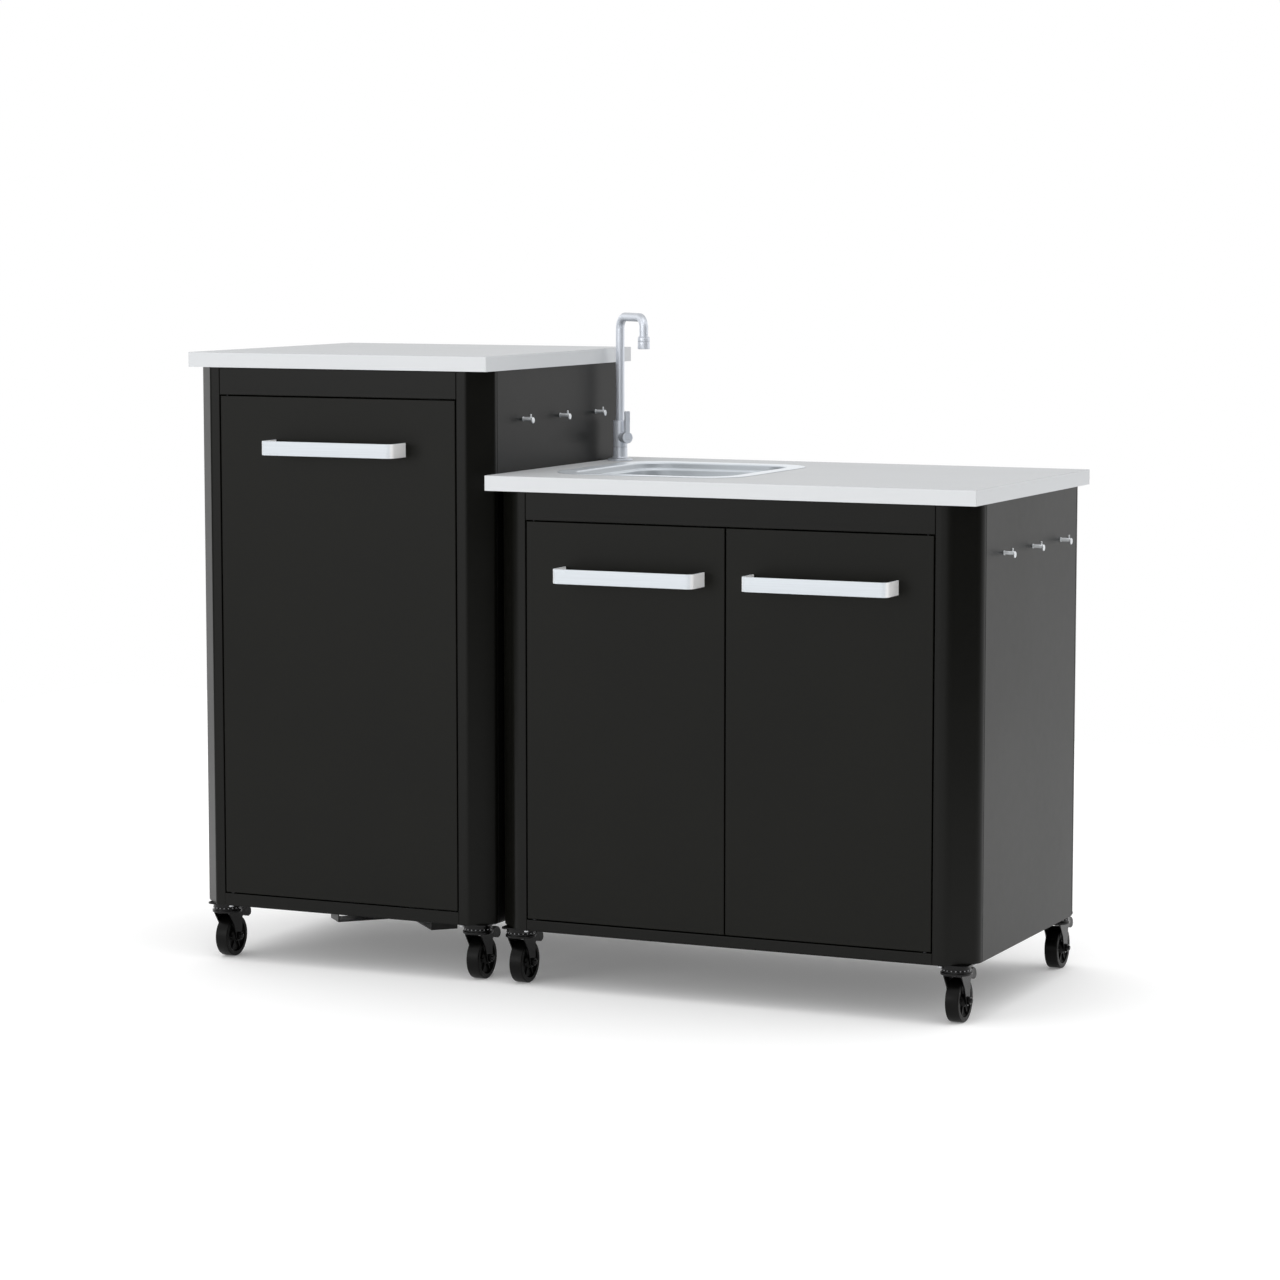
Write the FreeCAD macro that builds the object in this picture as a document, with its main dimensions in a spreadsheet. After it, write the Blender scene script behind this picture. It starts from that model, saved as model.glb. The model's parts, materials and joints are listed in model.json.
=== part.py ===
import FreeCAD, Part
import math
import os
import Sketcher

# Outdoor kitchen unit: a tall gas bottle cabinet and a lower sink cabinet, side by side on castors.
# Unit frame used below: X to the right from the tall worktop's right edge, Y to the back from the post
# fronts, Z up from the floor. Each finished node is then moved so that the origin is under the unit's middle.

SIZES = {
    # Both cabinets
    "tall_width": 600.0,
    "low_width": 904.5,
    "depth": 600.0,
    "tall_height": 1106.0,
    "low_height": 900.0,
    "base_clearance": 102.5,
    "base_sheet": 2.0,
    "base_inset": 1.2,
    "sheet": 1.2,
    "bend_radius": 1.5,
    # Worktops
    "top_thickness": 26.5,
    "top_sheet": 1.5,
    "top_lip": 25.0,
    "top_corner_radius": 1.4,
    "overhang": 4.5,
    # Corner posts and panels
    "tall_post_corner": 38.0,
    "tall_post_bend": 8.0,
    "tall_post_front": 57.0,
    "tall_post_side": 46.0,
    "low_post_corner": 47.0,
    "low_post_bend": 27.0,
    "low_post_front": 68.0,
    "low_post_side": 60.0,
    "post_flange": 12.0,
    "fascia_height": 49.0,
    "fascia_depth": 36.0,
    "tall_rail_height": 20.5,
    "low_rail_height": 18.0,
    "rail_depth": 12.0,
    # Doors, their pins and magnet catches
    "door_gap": 2.0,
    "door_thickness": 20.0,
    "door_lip": 12.0,
    "pin_radius": 3.0,
    "pin_reach": 9.0,
    "pin_from_edge": 12.0,
    "pin_from_front": 6.5,
    "pin_head_radius": 5.0,
    "pin_head": 2.0,
    "running_gap": 0.05,
    "face_gap": 0.3,
    "catch_width": 40.0,
    "catch_depth": 12.0,
    "catch_height": 14.0,
    "catch_from_edge": 60.0,
    # Door handles
    "handle_length": 264.0,
    "handle_reach": 54.5,
    "handle_height": 25.0,
    "handle_strip": 3.0,
    "handle_bend": 12.0,
    "handle_drop": 88.5,
    "tall_handle_shift": 7.0,
    "low_left_handle_shift": 18.0,
    "low_right_handle_shift": -6.5,
    # Utensil hooks
    "hook_reach": 21.0,
    "hook_radius": 3.4,
    "hook_rose_radius": 4.0,
    "hook_rose": 2.0,
    "hook_tip": 2.6,
    "hook_tip_radius": 5.5,
    "hook_tip_drop": 2.3,
    "hook_peg_radius": 1.75,
    "hook_peg_rise": 5.2,
    "hook_peg_setback": 5.4,
    "hook_pitch": 150.0,
    "hook_drop": 88.0,
    # Gas bottle cradle under the tall cabinet
    "bottle_opening_radius": 160.0,
    "strap_width": 50.0,
    "strap_thickness": 2.0,
    "strap_drop": 48.5,
    "strap_foot": 20.0,
    # Sink, waste and trap
    "sink_left": 64.0,
    "sink_front": 85.5,
    "sink_width": 360.0,
    "sink_length": 400.0,
    "sink_rim": 32.0,
    "sink_rim_rise": 1.2,
    "sink_rim_radius": 78.0,
    "sink_sheet": 1.0,
    "sink_step": 8.0,
    "sink_step_depth": 11.0,
    "sink_depth": 150.0,
    "sink_corner_radius": 56.0,
    "sink_floor_radius": 30.0,
    "cutout_gap": 1.5,
    "waste_flange_radius": 38.0,
    "waste_flange": 1.6,
    "waste_tube_radius": 26.0,
    "waste_wall": 2.0,
    "waste_length": 46.0,
    "waste_nut_radius": 33.0,
    "waste_nut": 12.0,
    "strainer_hole_radius": 2.6,
    "strainer_pitch_radius": 15.0,
    "trap_radius": 35.0,
    "trap_height": 100.0,
    "trap_neck_radius": 30.0,
    "trap_neck": 22.0,
    "trap_outlet_radius": 16.0,
    "trap_outlet_wall": 2.0,
    "trap_outlet_length": 95.0,
    "trap_outlet_drop": 46.0,
    # Tap
    "tap_from_left": 26.5,
    "tap_from_back": 106.0,
    "tap_flange_radius": 23.0,
    "tap_flange": 4.0,
    "tap_body_radius": 13.5,
    "tap_body_height": 74.0,
    "tap_shank_radius": 10.0,
    "tap_shank_length": 74.0,
    "tap_tail_radius": 6.5,
    "tap_tail_length": 26.0,
    "tap_boss_radius": 9.6,
    "tap_boss_reach": 20.0,
    "tap_boss_height": 43.0,
    "spout_radius": 8.0,
    "spout_wall": 1.5,
    "spout_bend_radius": 23.0,
    "spout_top": 273.0,
    "spout_reach": 98.0,
    "spout_socket": 14.0,
    "aerator_radius": 11.0,
    "aerator_height": 21.0,
    "aerator_drop": 44.0,
    "spout_angle": 39.0,
    "lever_cap_radius": 10.5,
    "lever_cap": 12.0,
    "lever_width": 10.0,
    "lever_thickness": 5.0,
    "lever_rise": 49.0,
    "backnut_radius": 16.0,
    "backnut": 8.0,
    "washer_radius": 17.0,
    "washer": 2.0,
    # Castors
    "caster_inset": 38.0,
    "caster_trail": 14.0,
    "wheel_radius": 37.5,
    "wheel_width": 24.0,
    "wheel_edge_radius": 4.0,
    "wheel_rim": 9.0,
    "wheel_recess": 5.0,
    "hub_radius": 12.0,
    "hub_half_width": 13.0,
    "axle_radius": 4.0,
    "axle_head_radius": 7.5,
    "axle_head": 4.5,
    "axle_end": 3.0,
    "fork_inner_half": 14.25,
    "fork_sheet": 2.5,
    "crown_radius": 27.0,
    "crown_thickness": 4.4,
    "lower_race": 4.0,
    "fork_front": 23.0,
    "fork_back": 38.0,
    "fork_back_depth": 12.0,
    "fork_waist": 26.0,
    "fork_waist_drop": 17.0,
    "fork_eye_radius": 9.5,
    "race_radius": 25.0,
    "race_height": 7.2,
    "race_gap": 0.4,
    "kingpin_radius": 5.0,
    "kingpin_head_radius": 8.0,
    "kingpin_head": 3.0,
    "plate_side": 56.0,
    "plate_corner": 12.0,
    "plate_thickness": 2.5,
    "plate_bolt_pitch": 42.0,
    "screw_radius": 2.5,
    "screw_head_radius": 4.2,
    "screw_head": 2.7,
    "nut_radius": 4.6,
    "nut": 4.0,
    "screw_end": 2.0,
    "pedal_reach": 64.0,
    "pedal_half_width": 13.75,
    "pedal_pivot_y": 32.0,
    "pedal_pivot_z": 82.0,
    "pedal_pin_radius": 2.4,
    "overrun": 1.0,
}

# Places of the pedal's outline corners: shares of its reach, and of the pivot's height above the floor.
PEDAL_REACH_SHARES = (0.431, 0.531, 0.688, 0.875, 0.969, 1.0, 0.984, 0.906, 0.75, 0.594, 0.431)
PEDAL_HEIGHT_SHARES = (0.927, 0.884, 0.841, 0.811, 0.841, 0.902, 0.988, 1.049, 1.085, 1.091, 1.073)

# How far a wall of unit thickness sets back the inner corner of a half right-angle bend.
HALF_BEND_SHARE = 0.41421

doc = FreeCAD.newDocument("outdoor_kitchen_unit")
sheet = doc.addObject("Spreadsheet::Sheet", "Sizes")
for row, (alias, number) in enumerate(SIZES.items(), 1):
    sheet.set(f"A{row}", alias)
    sheet.set(f"B{row}", str(number))
    sheet.setAlias(f"B{row}", alias)
doc.recompute()


class Size:
    """A length that knows its number and the sheet expression that it comes from."""

    def __init__(self, value, text):
        self.value = value
        self.text = text

    def join(self, other, sign, value):
        return Size(value, f"({self.text} {sign} {as_size(other).text})")

    def __add__(self, other):
        return self.join(other, "+", self.value + as_size(other).value)

    def __sub__(self, other):
        return self.join(other, "-", self.value - as_size(other).value)

    def __mul__(self, other):
        return self.join(other, "*", self.value * as_size(other).value)

    def __truediv__(self, other):
        return self.join(other, "/", self.value / as_size(other).value)

    def __neg__(self):
        return Size(-self.value, f"(-{self.text})")


def as_size(thing):
    return thing if isinstance(thing, Size) else Size(float(thing), repr(float(thing)))


class Sheet:
    """The driving sizes, one attribute for each cell."""

    def __init__(self):
        for alias in SIZES:
            setattr(self, alias, Size(sheet.get(alias), f"Sizes.{alias}"))


S = Sheet()
ZERO = as_size(0)
AXES = {"X": FreeCAD.Vector(1, 0, 0), "Y": FreeCAD.Vector(0, 1, 0), "Z": FreeCAD.Vector(0, 0, 1)}
TURNS = {
    "X": FreeCAD.Rotation(AXES["Y"], 90),
    "Y": FreeCAD.Rotation(AXES["X"], -90),
    "Z": FreeCAD.Rotation(),
}


def bind(item, **sizes):
    """Bind properties of an object to sizes; a double underscore in a name stands for a dot."""
    for prop, size in sizes.items():
        item.setExpression(prop.replace("__", "."), as_size(size).text)


def put(item, x, y, z, turn=None):
    """Place an object at a point, turned by a rotation where one is given."""
    item.Placement = FreeCAD.Placement(FreeCAD.Vector(), turn or FreeCAD.Rotation())
    bind(item, Placement__Base__x=x, Placement__Base__y=y, Placement__Base__z=z)
    return item


def box(name, low, high):
    """A block between two corners."""
    item = doc.addObject("Part::Box", name)
    spans = [as_size(b) - a for a, b in zip(low, high)]
    bind(item, Length=spans[0], Width=spans[1], Height=spans[2])
    return put(item, *low)


def rod(name, radius, start, length, axis="Z"):
    """A round bar that runs from a point along an axis."""
    item = doc.addObject("Part::Cylinder", name)
    bind(item, Radius=radius, Height=length)
    return put(item, *start, TURNS[axis])


def nut(name, radius, start, length, axis="Z"):
    """A six-sided bar that runs from a point along an axis."""
    item = doc.addObject("Part::Prism", name)
    item.Polygon = 6
    bind(item, Circumradius=radius, Height=length)
    return put(item, *start, TURNS[axis])


def elbow(name, bend, radius, centre, first):
    """A quarter bend of a round bar, upright in the XZ plane, starting at an angle in degrees."""
    item = doc.addObject("Part::Torus", name)
    bind(item, Radius1=bend, Radius2=radius)
    item.Angle3 = 90
    turn = FreeCAD.Rotation(AXES["Y"], -first).multiply(FreeCAD.Rotation(AXES["X"], 90))
    return put(item, *centre, turn)


def fuse(name, parts):
    item = doc.addObject("Part::MultiFuse", name)
    item.Shapes = parts
    item.Refine = True
    return item


def cut(name, base, tools):
    item = doc.addObject("Part::Cut", name)
    item.Base = base
    item.Tool = tools[0] if len(tools) == 1 else fuse(name + "_tools", tools)
    return item


def new_body(name):
    item = doc.addObject("PartDesign::Body", name)
    item.Label = name
    return item


def outline(item, name, role, points=(), circles=(), rise=ZERO):
    """A sketch on one of a body's own planes: a closed outline of straight lines, and circles."""
    sketch = item.newObject("Sketcher::SketchObject", name)
    plane = [feature for feature in item.Origin.OriginFeatures if feature.Role == role][0]
    sketch.AttachmentSupport = (plane, [""])
    sketch.MapMode = "FlatFace"
    sketch.setExpression(".AttachmentOffset.Base.z", as_size(rise).text)
    corners = [(as_size(a), as_size(b)) for a, b in points]
    spots = [FreeCAD.Vector(a.value, b.value, 0) for a, b in corners]
    for index, spot in enumerate(spots):
        sketch.addGeometry(Part.LineSegment(spot, spots[(index + 1) % len(spots)]))
    for index in range(len(spots)):
        sketch.addConstraint(Sketcher.Constraint("Coincident", index, 2, (index + 1) % len(spots), 1))
    for index, corner in enumerate(corners):
        for kind, length in zip(("DistanceX", "DistanceY"), corner):
            number = sketch.addConstraint(Sketcher.Constraint(kind, -1, 1, index, 1, length.value))
            sketch.setExpression(f"Constraints[{number}]", length.text)
    for across, along, radius in circles:
        centre = FreeCAD.Vector(as_size(across).value, as_size(along).value, 0)
        index = sketch.addGeometry(Part.Circle(centre, AXES["Z"], radius.value))
        for kind, length in (("DistanceX", as_size(across)), ("DistanceY", as_size(along))):
            number = sketch.addConstraint(Sketcher.Constraint(kind, -1, 1, index, 3, length.value))
            sketch.setExpression(f"Constraints[{number}]", length.text)
        number = sketch.addConstraint(Sketcher.Constraint("Radius", index, radius.value))
        sketch.setExpression(f"Constraints[{number}]", radius.text)
    return sketch


def rectangle(low, high):
    return [low, (high[0], low[1]), high, (low[0], high[1])]


def pad(item, name, sketch, length, reverse=False):
    feature = item.newObject("PartDesign::Pad", name)
    feature.Profile = sketch
    feature.Reversed = reverse
    bind(feature, Length=length)
    doc.recompute()
    return feature


def pocket(item, name, sketch, length, reverse=False):
    before = item.Shape.Volume
    feature = item.newObject("PartDesign::Pocket", name)
    feature.Profile = sketch
    feature.Reversed = reverse
    bind(feature, Length=length)
    doc.recompute()
    if not item.Shape.Volume < before:
        raise ValueError(f"{name} cuts nothing")
    return feature


def fillet(item, name, radius, picked):
    """Round the edges of a body's last feature that a test picks."""
    base = item.Tip
    edges = [f"Edge{index}" for index, edge in enumerate(base.Shape.Edges, 1) if picked(edge)]
    feature = item.newObject("PartDesign::Fillet", name)
    feature.Base = (base, edges)
    bind(feature, Radius=radius)
    doc.recompute()
    return feature


def near(a, b):
    return abs(a - as_size(b).value) < 1e-4


def upright(*spots):
    """A test that picks the upright edges over the given plan positions."""

    def picked(edge):
        first, last = edge.Vertexes[0].Point, edge.Vertexes[-1].Point
        level = math.hypot(first.x - last.x, first.y - last.y) > 1e-6
        return not level and any(near(first.x, x) and near(first.y, y) for x, y in spots)

    return picked


def all_at(axis, place):
    """A test that picks the edges that lie wholly in the plane at a place along an axis."""

    def picked(edge):
        box_of = edge.BoundBox
        return near(getattr(box_of, axis + "Min"), place) and near(getattr(box_of, axis + "Max"), place)

    return picked


nodes = []


def node(name, *members):
    """Gather the solids of one separate piece, moved into the frame of the finished unit."""
    item = doc.addObject("Part::Compound", name)
    item.Label = name
    item.Links = list(members)
    put(item, -origin_x, -origin_y, ZERO)
    nodes.append(item)
    return item


# The origin lies on the floor under the middle of the whole unit's box.
body_depth = S.depth - S.overhang
origin_x = (S.low_width - S.overhang * 2 + S.hook_reach - S.tall_width) / 2
origin_y = (body_depth - S.caster_inset + S.pedal_reach - S.handle_reach) / 2
panel_foot = S.base_clearance + S.base_sheet


class Cabinet:
    """The named places of one cabinet; left and right are its panels, under the overhanging worktop."""

    def __init__(self, name, top_left, left, right, height, post, rail):
        self.name = name
        self.top_left = top_left
        self.left = left
        self.right = right
        self.top_right = right + S.overhang
        self.middle = (left + right) / 2
        self.height = height
        self.corner, self.bend, self.post_front, self.post_side = post
        self.panel_top = height - S.top_thickness
        self.fascia_foot = self.panel_top - S.fascia_height
        self.rail_top = panel_foot + rail
        self.door_top = self.fascia_foot - S.door_gap
        self.door_foot = self.rail_top + S.door_gap
        self.front_left = left + self.post_front
        self.front_right = right - self.post_front
        self.handle_level = self.door_top - S.handle_drop
        self.hook_level = self.panel_top - S.hook_drop


TALL_POST = (S.tall_post_corner, S.tall_post_bend, S.tall_post_front, S.tall_post_side)
LOW_POST = (S.low_post_corner, S.low_post_bend, S.low_post_front, S.low_post_side)
TALL = Cabinet(
    "tall", -S.tall_width, S.overhang - S.tall_width, -S.overhang, S.tall_height, TALL_POST, S.tall_rail_height
)
LOW = Cabinet(
    "low", -S.overhang, S.overhang, S.low_width - S.overhang * 2, S.low_height, LOW_POST, S.low_rail_height
)

bowl_left = S.sink_left + S.sink_rim
bowl_right = S.sink_left + S.sink_width - S.sink_rim
bowl_front = S.sink_front + S.sink_rim
bowl_back = S.sink_front + S.sink_length - S.sink_rim
waste_x = (bowl_left + bowl_right) / 2
waste_y = (bowl_front + bowl_back) / 2
tap_x = S.tap_from_left
tap_y = body_depth - S.tap_from_back


def build_worktop(cabinet):
    """A folded sheet worktop: top, turned-down edges and an inward lip underneath."""
    item = new_body(cabinet.name + "_worktop_sheet")
    name = cabinet.name + "_top"
    foot = cabinet.panel_top
    left, right = cabinet.top_left, cabinet.top_right
    front, back = -S.overhang, body_depth
    blank = rectangle((left, front), (right, back))
    pad(item, name + "_blank", outline(item, name + "_edge", "XY_Plane", blank, rise=foot), S.top_thickness)
    corners = [(x, y) for x in (left, right) for y in (front, back)]
    fillet(item, name + "_corners", S.top_corner_radius, upright(*corners))
    mouth = rectangle((left + S.top_lip, front + S.top_lip), (right - S.top_lip, back - S.top_lip))
    mouth_sketch = outline(item, name + "_mouth_edge", "XY_Plane", mouth, rise=foot)
    pocket(item, name + "_mouth", mouth_sketch, S.top_thickness - S.top_sheet, True)
    hollow = rectangle((left + S.top_sheet, front + S.top_sheet), (right - S.top_sheet, back - S.top_sheet))
    hollow_sketch = outline(item, name + "_hollow_edge", "XY_Plane", hollow, rise=foot + S.top_sheet)
    pocket(item, name + "_hollow", hollow_sketch, S.top_thickness - S.top_sheet - S.top_sheet, True)
    fillet(item, name + "_rim", S.top_corner_radius / 2, all_at("Z", cabinet.height))
    return item


def build_low_worktop():
    """The low worktop has cut-outs for the sink bowl and the tap."""
    item = build_worktop(LOW)
    spare = S.sink_sheet + S.cutout_gap
    low = (bowl_left - spare, bowl_front - spare)
    high = (bowl_right + spare, bowl_back + spare)
    sink_sketch = outline(item, "sink_cutout_edge", "XY_Plane", rectangle(low, high), rise=LOW.height)
    pocket(item, "sink_cutout", sink_sketch, S.top_thickness)
    corners = [(x, y) for x in (low[0], high[0]) for y in (low[1], high[1])]
    fillet(item, "sink_cutout_corners", S.sink_corner_radius, upright(*corners))
    hole = [(tap_x, tap_y, S.tap_shank_radius)]
    tap_sketch = outline(item, "tap_hole_edge", "XY_Plane", circles=hole, rise=LOW.height)
    pocket(item, "tap_hole", tap_sketch, S.top_thickness)
    return item


def build_post(name, cabinet, corner_x, corner_y, across, back):
    """A corner post with a slanted face and inward flanges; across and back are the signs of its arms."""
    item = new_body(name)
    corner, front, side, wall = cabinet.corner, cabinet.post_front, cabinet.post_side, S.sheet
    inner_front, inner_side = front - wall, side - wall
    inner_corner = corner + wall * HALF_BEND_SHARE
    local = [
        (corner, ZERO), (front, ZERO), (front, S.post_flange), (inner_front, S.post_flange),
        (inner_front, wall), (inner_corner, wall), (wall, inner_corner), (wall, inner_side),
        (S.post_flange, inner_side), (S.post_flange, side), (ZERO, side), (ZERO, corner),
    ]
    points = [(corner_x + x * across, corner_y + y * back) for x, y in local]
    sketch = outline(item, name + "_profile", "XY_Plane", points, rise=panel_foot)
    pad(item, name + "_length", sketch, cabinet.panel_top - panel_foot)
    fillet(item, name + "_outside", cabinet.bend, upright(points[0], points[-1]))
    fillet(item, name + "_inside", cabinet.bend - wall, upright(points[5], points[6]))
    fillet(item, name + "_bends", S.bend_radius, upright(points[1], points[-2]))
    return item


def build_panel(name, cabinet, points):
    """A flat panel folded in at its two upright edges; the first and last points are its bends."""
    item = new_body(name)
    sketch = outline(item, name + "_profile", "XY_Plane", points, rise=panel_foot)
    pad(item, name + "_length", sketch, cabinet.panel_top - panel_foot)
    fillet(item, name + "_bends", S.bend_radius, upright(points[0], points[-1]))
    return item


def build_side(cabinet, side, outside, inward):
    start, end = cabinet.post_side, body_depth - cabinet.post_side
    flange = outside + S.post_flange * inward
    skin = outside + S.sheet * inward
    points = [
        (outside, start), (flange, start), (flange, start + S.sheet), (skin, start + S.sheet),
        (skin, end - S.sheet), (flange, end - S.sheet), (flange, end), (outside, end),
    ]
    return build_panel(f"{cabinet.name}_{side}_panel", cabinet, points)


def build_back(cabinet):
    start, end = cabinet.front_left, cabinet.front_right
    flange = body_depth - S.post_flange
    skin = body_depth - S.sheet
    points = [
        (start, body_depth), (start, flange), (start + S.sheet, flange), (start + S.sheet, skin),
        (end - S.sheet, skin), (end - S.sheet, flange), (end, flange), (end, body_depth),
    ]
    return build_panel(cabinet.name + "_back_panel", cabinet, points)


def build_tray(name, low, high, depth, lip, rounded):
    """A folded tray that is open at the back; low and high are its (x, z) corners, lip its return."""
    item = new_body(name)
    face = outline(item, name + "_face", "XZ_Plane", rectangle(low, high))
    pad(item, name + "_blank", face, depth, True)
    inner_low = (low[0] + S.sheet, low[1] + S.sheet)
    inner_high = (high[0] - S.sheet, high[1] - S.sheet)
    back_low = (low[0] + lip, low[1] + lip)
    back_high = (high[0] - lip, high[1] - lip)
    mouth = outline(item, name + "_mouth_edge", "XZ_Plane", rectangle(back_low, back_high), rise=-depth)
    pocket(item, name + "_mouth", mouth, depth - S.sheet, True)
    if lip.value > S.sheet.value:
        inside = rectangle(inner_low, inner_high)
        hollow = outline(item, name + "_hollow_edge", "XZ_Plane", inside, rise=S.sheet - depth)
        pocket(item, name + "_hollow", hollow, depth - S.sheet - S.sheet, True)
    if rounded:
        fillet(item, name + "_bends", S.bend_radius, all_at("Y", ZERO))
    return item


def build_base(cabinet):
    """The base sheet, on which posts, panels and bottom rail stand."""
    item = new_body(cabinet.name + "_base_sheet")
    name = cabinet.name + "_floor"
    left, right = cabinet.left + S.base_inset, cabinet.right - S.base_inset
    front, back = S.base_inset, body_depth - S.base_inset
    slant = cabinet.corner - S.base_inset + S.base_inset * HALF_BEND_SHARE
    points = [
        (left + slant, front), (right - slant, front), (right, front + slant), (right, back - slant),
        (right - slant, back), (left + slant, back), (left, back - slant), (left, front + slant),
    ]
    blank = outline(item, name + "_edge", "XY_Plane", points, rise=S.base_clearance)
    pad(item, name + "_blank", blank, S.base_sheet)
    fillet(item, name + "_corners", cabinet.bend, upright(*points))
    return item


caster_spots = {}
for cabinet in (TALL, LOW):
    for depth_word, y in (("front", S.caster_inset), ("rear", body_depth - S.caster_inset)):
        for side_word, x in (
            ("left", cabinet.left + S.caster_inset), ("right", cabinet.right - S.caster_inset)
        ):
            caster_spots[f"{cabinet.name}_{depth_word}_{side_word}"] = (cabinet, x, y)


def square(x, y, half):
    """The corners of a level square around a point."""
    return [(x + half * a, y + half * b) for a in (-1, 1) for b in (-1, 1)]


def plate_holes(x, y):
    return square(x, y, S.plate_bolt_pitch / 2)


def screw_spots(cabinet, x, y):
    """The plate holes under the base sheet; the outermost one lies past the post's slanted face."""

    def reach(spot):
        return abs(spot[0].value - cabinet.middle.value) + abs(spot[1].value - body_depth.value / 2)

    return sorted(plate_holes(x, y), key=reach)[:-1]


plate_foot = S.base_clearance - S.plate_thickness


def build_screw(name, x, y):
    """A plate screw with its head under the plate and its nut on the base sheet."""
    head = rod(name + "_head", S.screw_head_radius, (x, y, plate_foot - S.screw_head), S.screw_head)
    shank_length = panel_foot - plate_foot + S.nut + S.screw_end
    shank = rod(name + "_shank", S.screw_radius, (x, y, plate_foot), shank_length)
    top_nut = nut(name + "_nut", S.nut_radius, (x, y, panel_foot), S.nut)
    return fuse(name, [head, shank, top_nut])


def screw_holes(name, spots, foot, height):
    return [
        rod(f"{name}_{index}", S.screw_radius, (x, y, foot - S.overrun), height + S.overrun * 2)
        for index, (x, y) in enumerate(spots)
    ]


def cut_base(cabinet):
    base = build_base(cabinet)
    spots = [
        spot for owner, x, y in caster_spots.values() if owner is cabinet
        for spot in screw_spots(cabinet, x, y)
    ]
    tools = screw_holes(cabinet.name + "_base_hole", spots, S.base_clearance, S.base_sheet)
    if cabinet is TALL:
        tools.append(rod(
            "bottle_opening", S.bottle_opening_radius,
            (TALL.middle, body_depth / 2, S.base_clearance - S.overrun), S.base_sheet + S.overrun * 2,
        ))
    return cut(cabinet.name + "_floor_drilled", base, tools)


# Cabinet carcasses
for cabinet in (TALL, LOW):
    top = build_worktop(cabinet) if cabinet is TALL else build_low_worktop()
    node(cabinet.name + "_worktop", top)
    posts = [
        build_post(f"{cabinet.name}_{end}_{side}_post", cabinet, x, y, across, back)
        for end, y, back in (("front", ZERO, 1), ("rear", body_depth, -1))
        for side, x, across in (("left", cabinet.left, 1), ("right", cabinet.right, -1))
    ]
    node(cabinet.name + "_corner_posts", *posts)
    node(cabinet.name + "_left_side_panel", build_side(cabinet, "left", cabinet.left, 1))
    node(cabinet.name + "_right_side_panel", build_side(cabinet, "right", cabinet.right, -1))
    node(cabinet.name + "_rear_panel", build_back(cabinet))
    node(cabinet.name + "_floor_panel", cut_base(cabinet))

# Doors: pin holes in the fascia, the bottom rail and the door flanges share one place and radius
half_gap = S.door_gap / 2
DOORS = {
    "tall_door": (TALL, TALL.front_left + S.door_gap, TALL.front_right - S.door_gap, 1, S.tall_handle_shift),
    "low_left_door": (LOW, LOW.front_left + S.door_gap, LOW.middle - half_gap, 1, S.low_left_handle_shift),
    "low_right_door": (
        LOW, LOW.middle + half_gap, LOW.front_right - S.door_gap, -1, S.low_right_handle_shift
    ),
}


def hinge_x(name):
    cabinet, left, right, side, shift = DOORS[name]
    return left + S.pin_from_edge if side > 0 else right - S.pin_from_edge


def build_pins(name):
    """The upper and lower pivot pins of one door, each with a head inside the cabinet."""
    cabinet = DOORS[name][0]
    x, y = hinge_x(name), S.pin_from_front
    washer = S.door_gap - S.running_gap * 2
    upper_foot = cabinet.door_top - S.pin_reach
    upper_top = cabinet.fascia_foot + S.sheet
    upper = rod(name + "_upper_shank", S.pin_radius, (x, y, upper_foot), upper_top - upper_foot)
    upper_head = rod(name + "_upper_head", S.pin_head_radius, (x, y, upper_top), S.pin_head)
    lower_foot = cabinet.rail_top - S.sheet
    lower_length = cabinet.door_foot + S.pin_reach - lower_foot
    lower = rod(name + "_lower_shank", S.pin_radius, (x, y, lower_foot), lower_length)
    lower_head = rod(name + "_lower_head", S.pin_head_radius, (x, y, lower_foot - S.pin_head), S.pin_head)
    collar = rod(name + "_collar", S.pin_head_radius, (x, y, cabinet.rail_top), washer)
    upper_pin = fuse(name + "_upper_pin", [upper, upper_head])
    return [upper_pin, fuse(name + "_lower_pin", [lower, lower_head, collar])]


def pin_hole(name, door, radius):
    x, y = hinge_x(door), S.pin_from_front
    cabinet = DOORS[door][0]
    length = S.pin_reach + S.door_gap + S.sheet
    return [
        rod(name + "_upper", radius, (x, y, cabinet.door_top - S.pin_reach), length),
        rod(name + "_lower", radius, (x, y, cabinet.rail_top - S.sheet), length),
    ]


def build_door(name):
    cabinet, left, right, side, shift = DOORS[name]
    low, high = (left, cabinet.door_foot), (right, cabinet.door_top)
    blank = build_tray(name + "_sheet", low, high, S.door_thickness, S.door_lip, True)
    return cut(name + "_drilled", blank, pin_hole(name + "_hole", name, S.pin_radius + S.running_gap))


def build_handle(name):
    """A flat bar bent into a shallow bracket, with both ends on the door face."""
    cabinet, left, right, side, shift = DOORS[name]
    item = new_body(name + "_bar")
    middle = (left + right) / 2 + shift
    start, end = middle - S.handle_length / 2, middle + S.handle_length / 2
    inner_start, inner_end = start + S.handle_strip, end - S.handle_strip
    front, inner_front = -S.handle_reach, S.handle_strip - S.handle_reach
    points = [
        (start, ZERO), (start, front), (end, front), (end, ZERO), (inner_end, ZERO),
        (inner_end, inner_front), (inner_start, inner_front), (inner_start, ZERO),
    ]
    foot = cabinet.handle_level - S.handle_height / 2
    sketch = outline(item, name + "_bar_outline", "XY_Plane", points, rise=foot)
    pad(item, name + "_bar_height", sketch, S.handle_height)
    fillet(item, name + "_bar_outer_bends", S.handle_bend, upright(points[1], points[2]))
    inner_bend = S.handle_bend - S.handle_strip
    fillet(item, name + "_bar_inner_bends", inner_bend, upright(points[5], points[6]))
    return item


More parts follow.
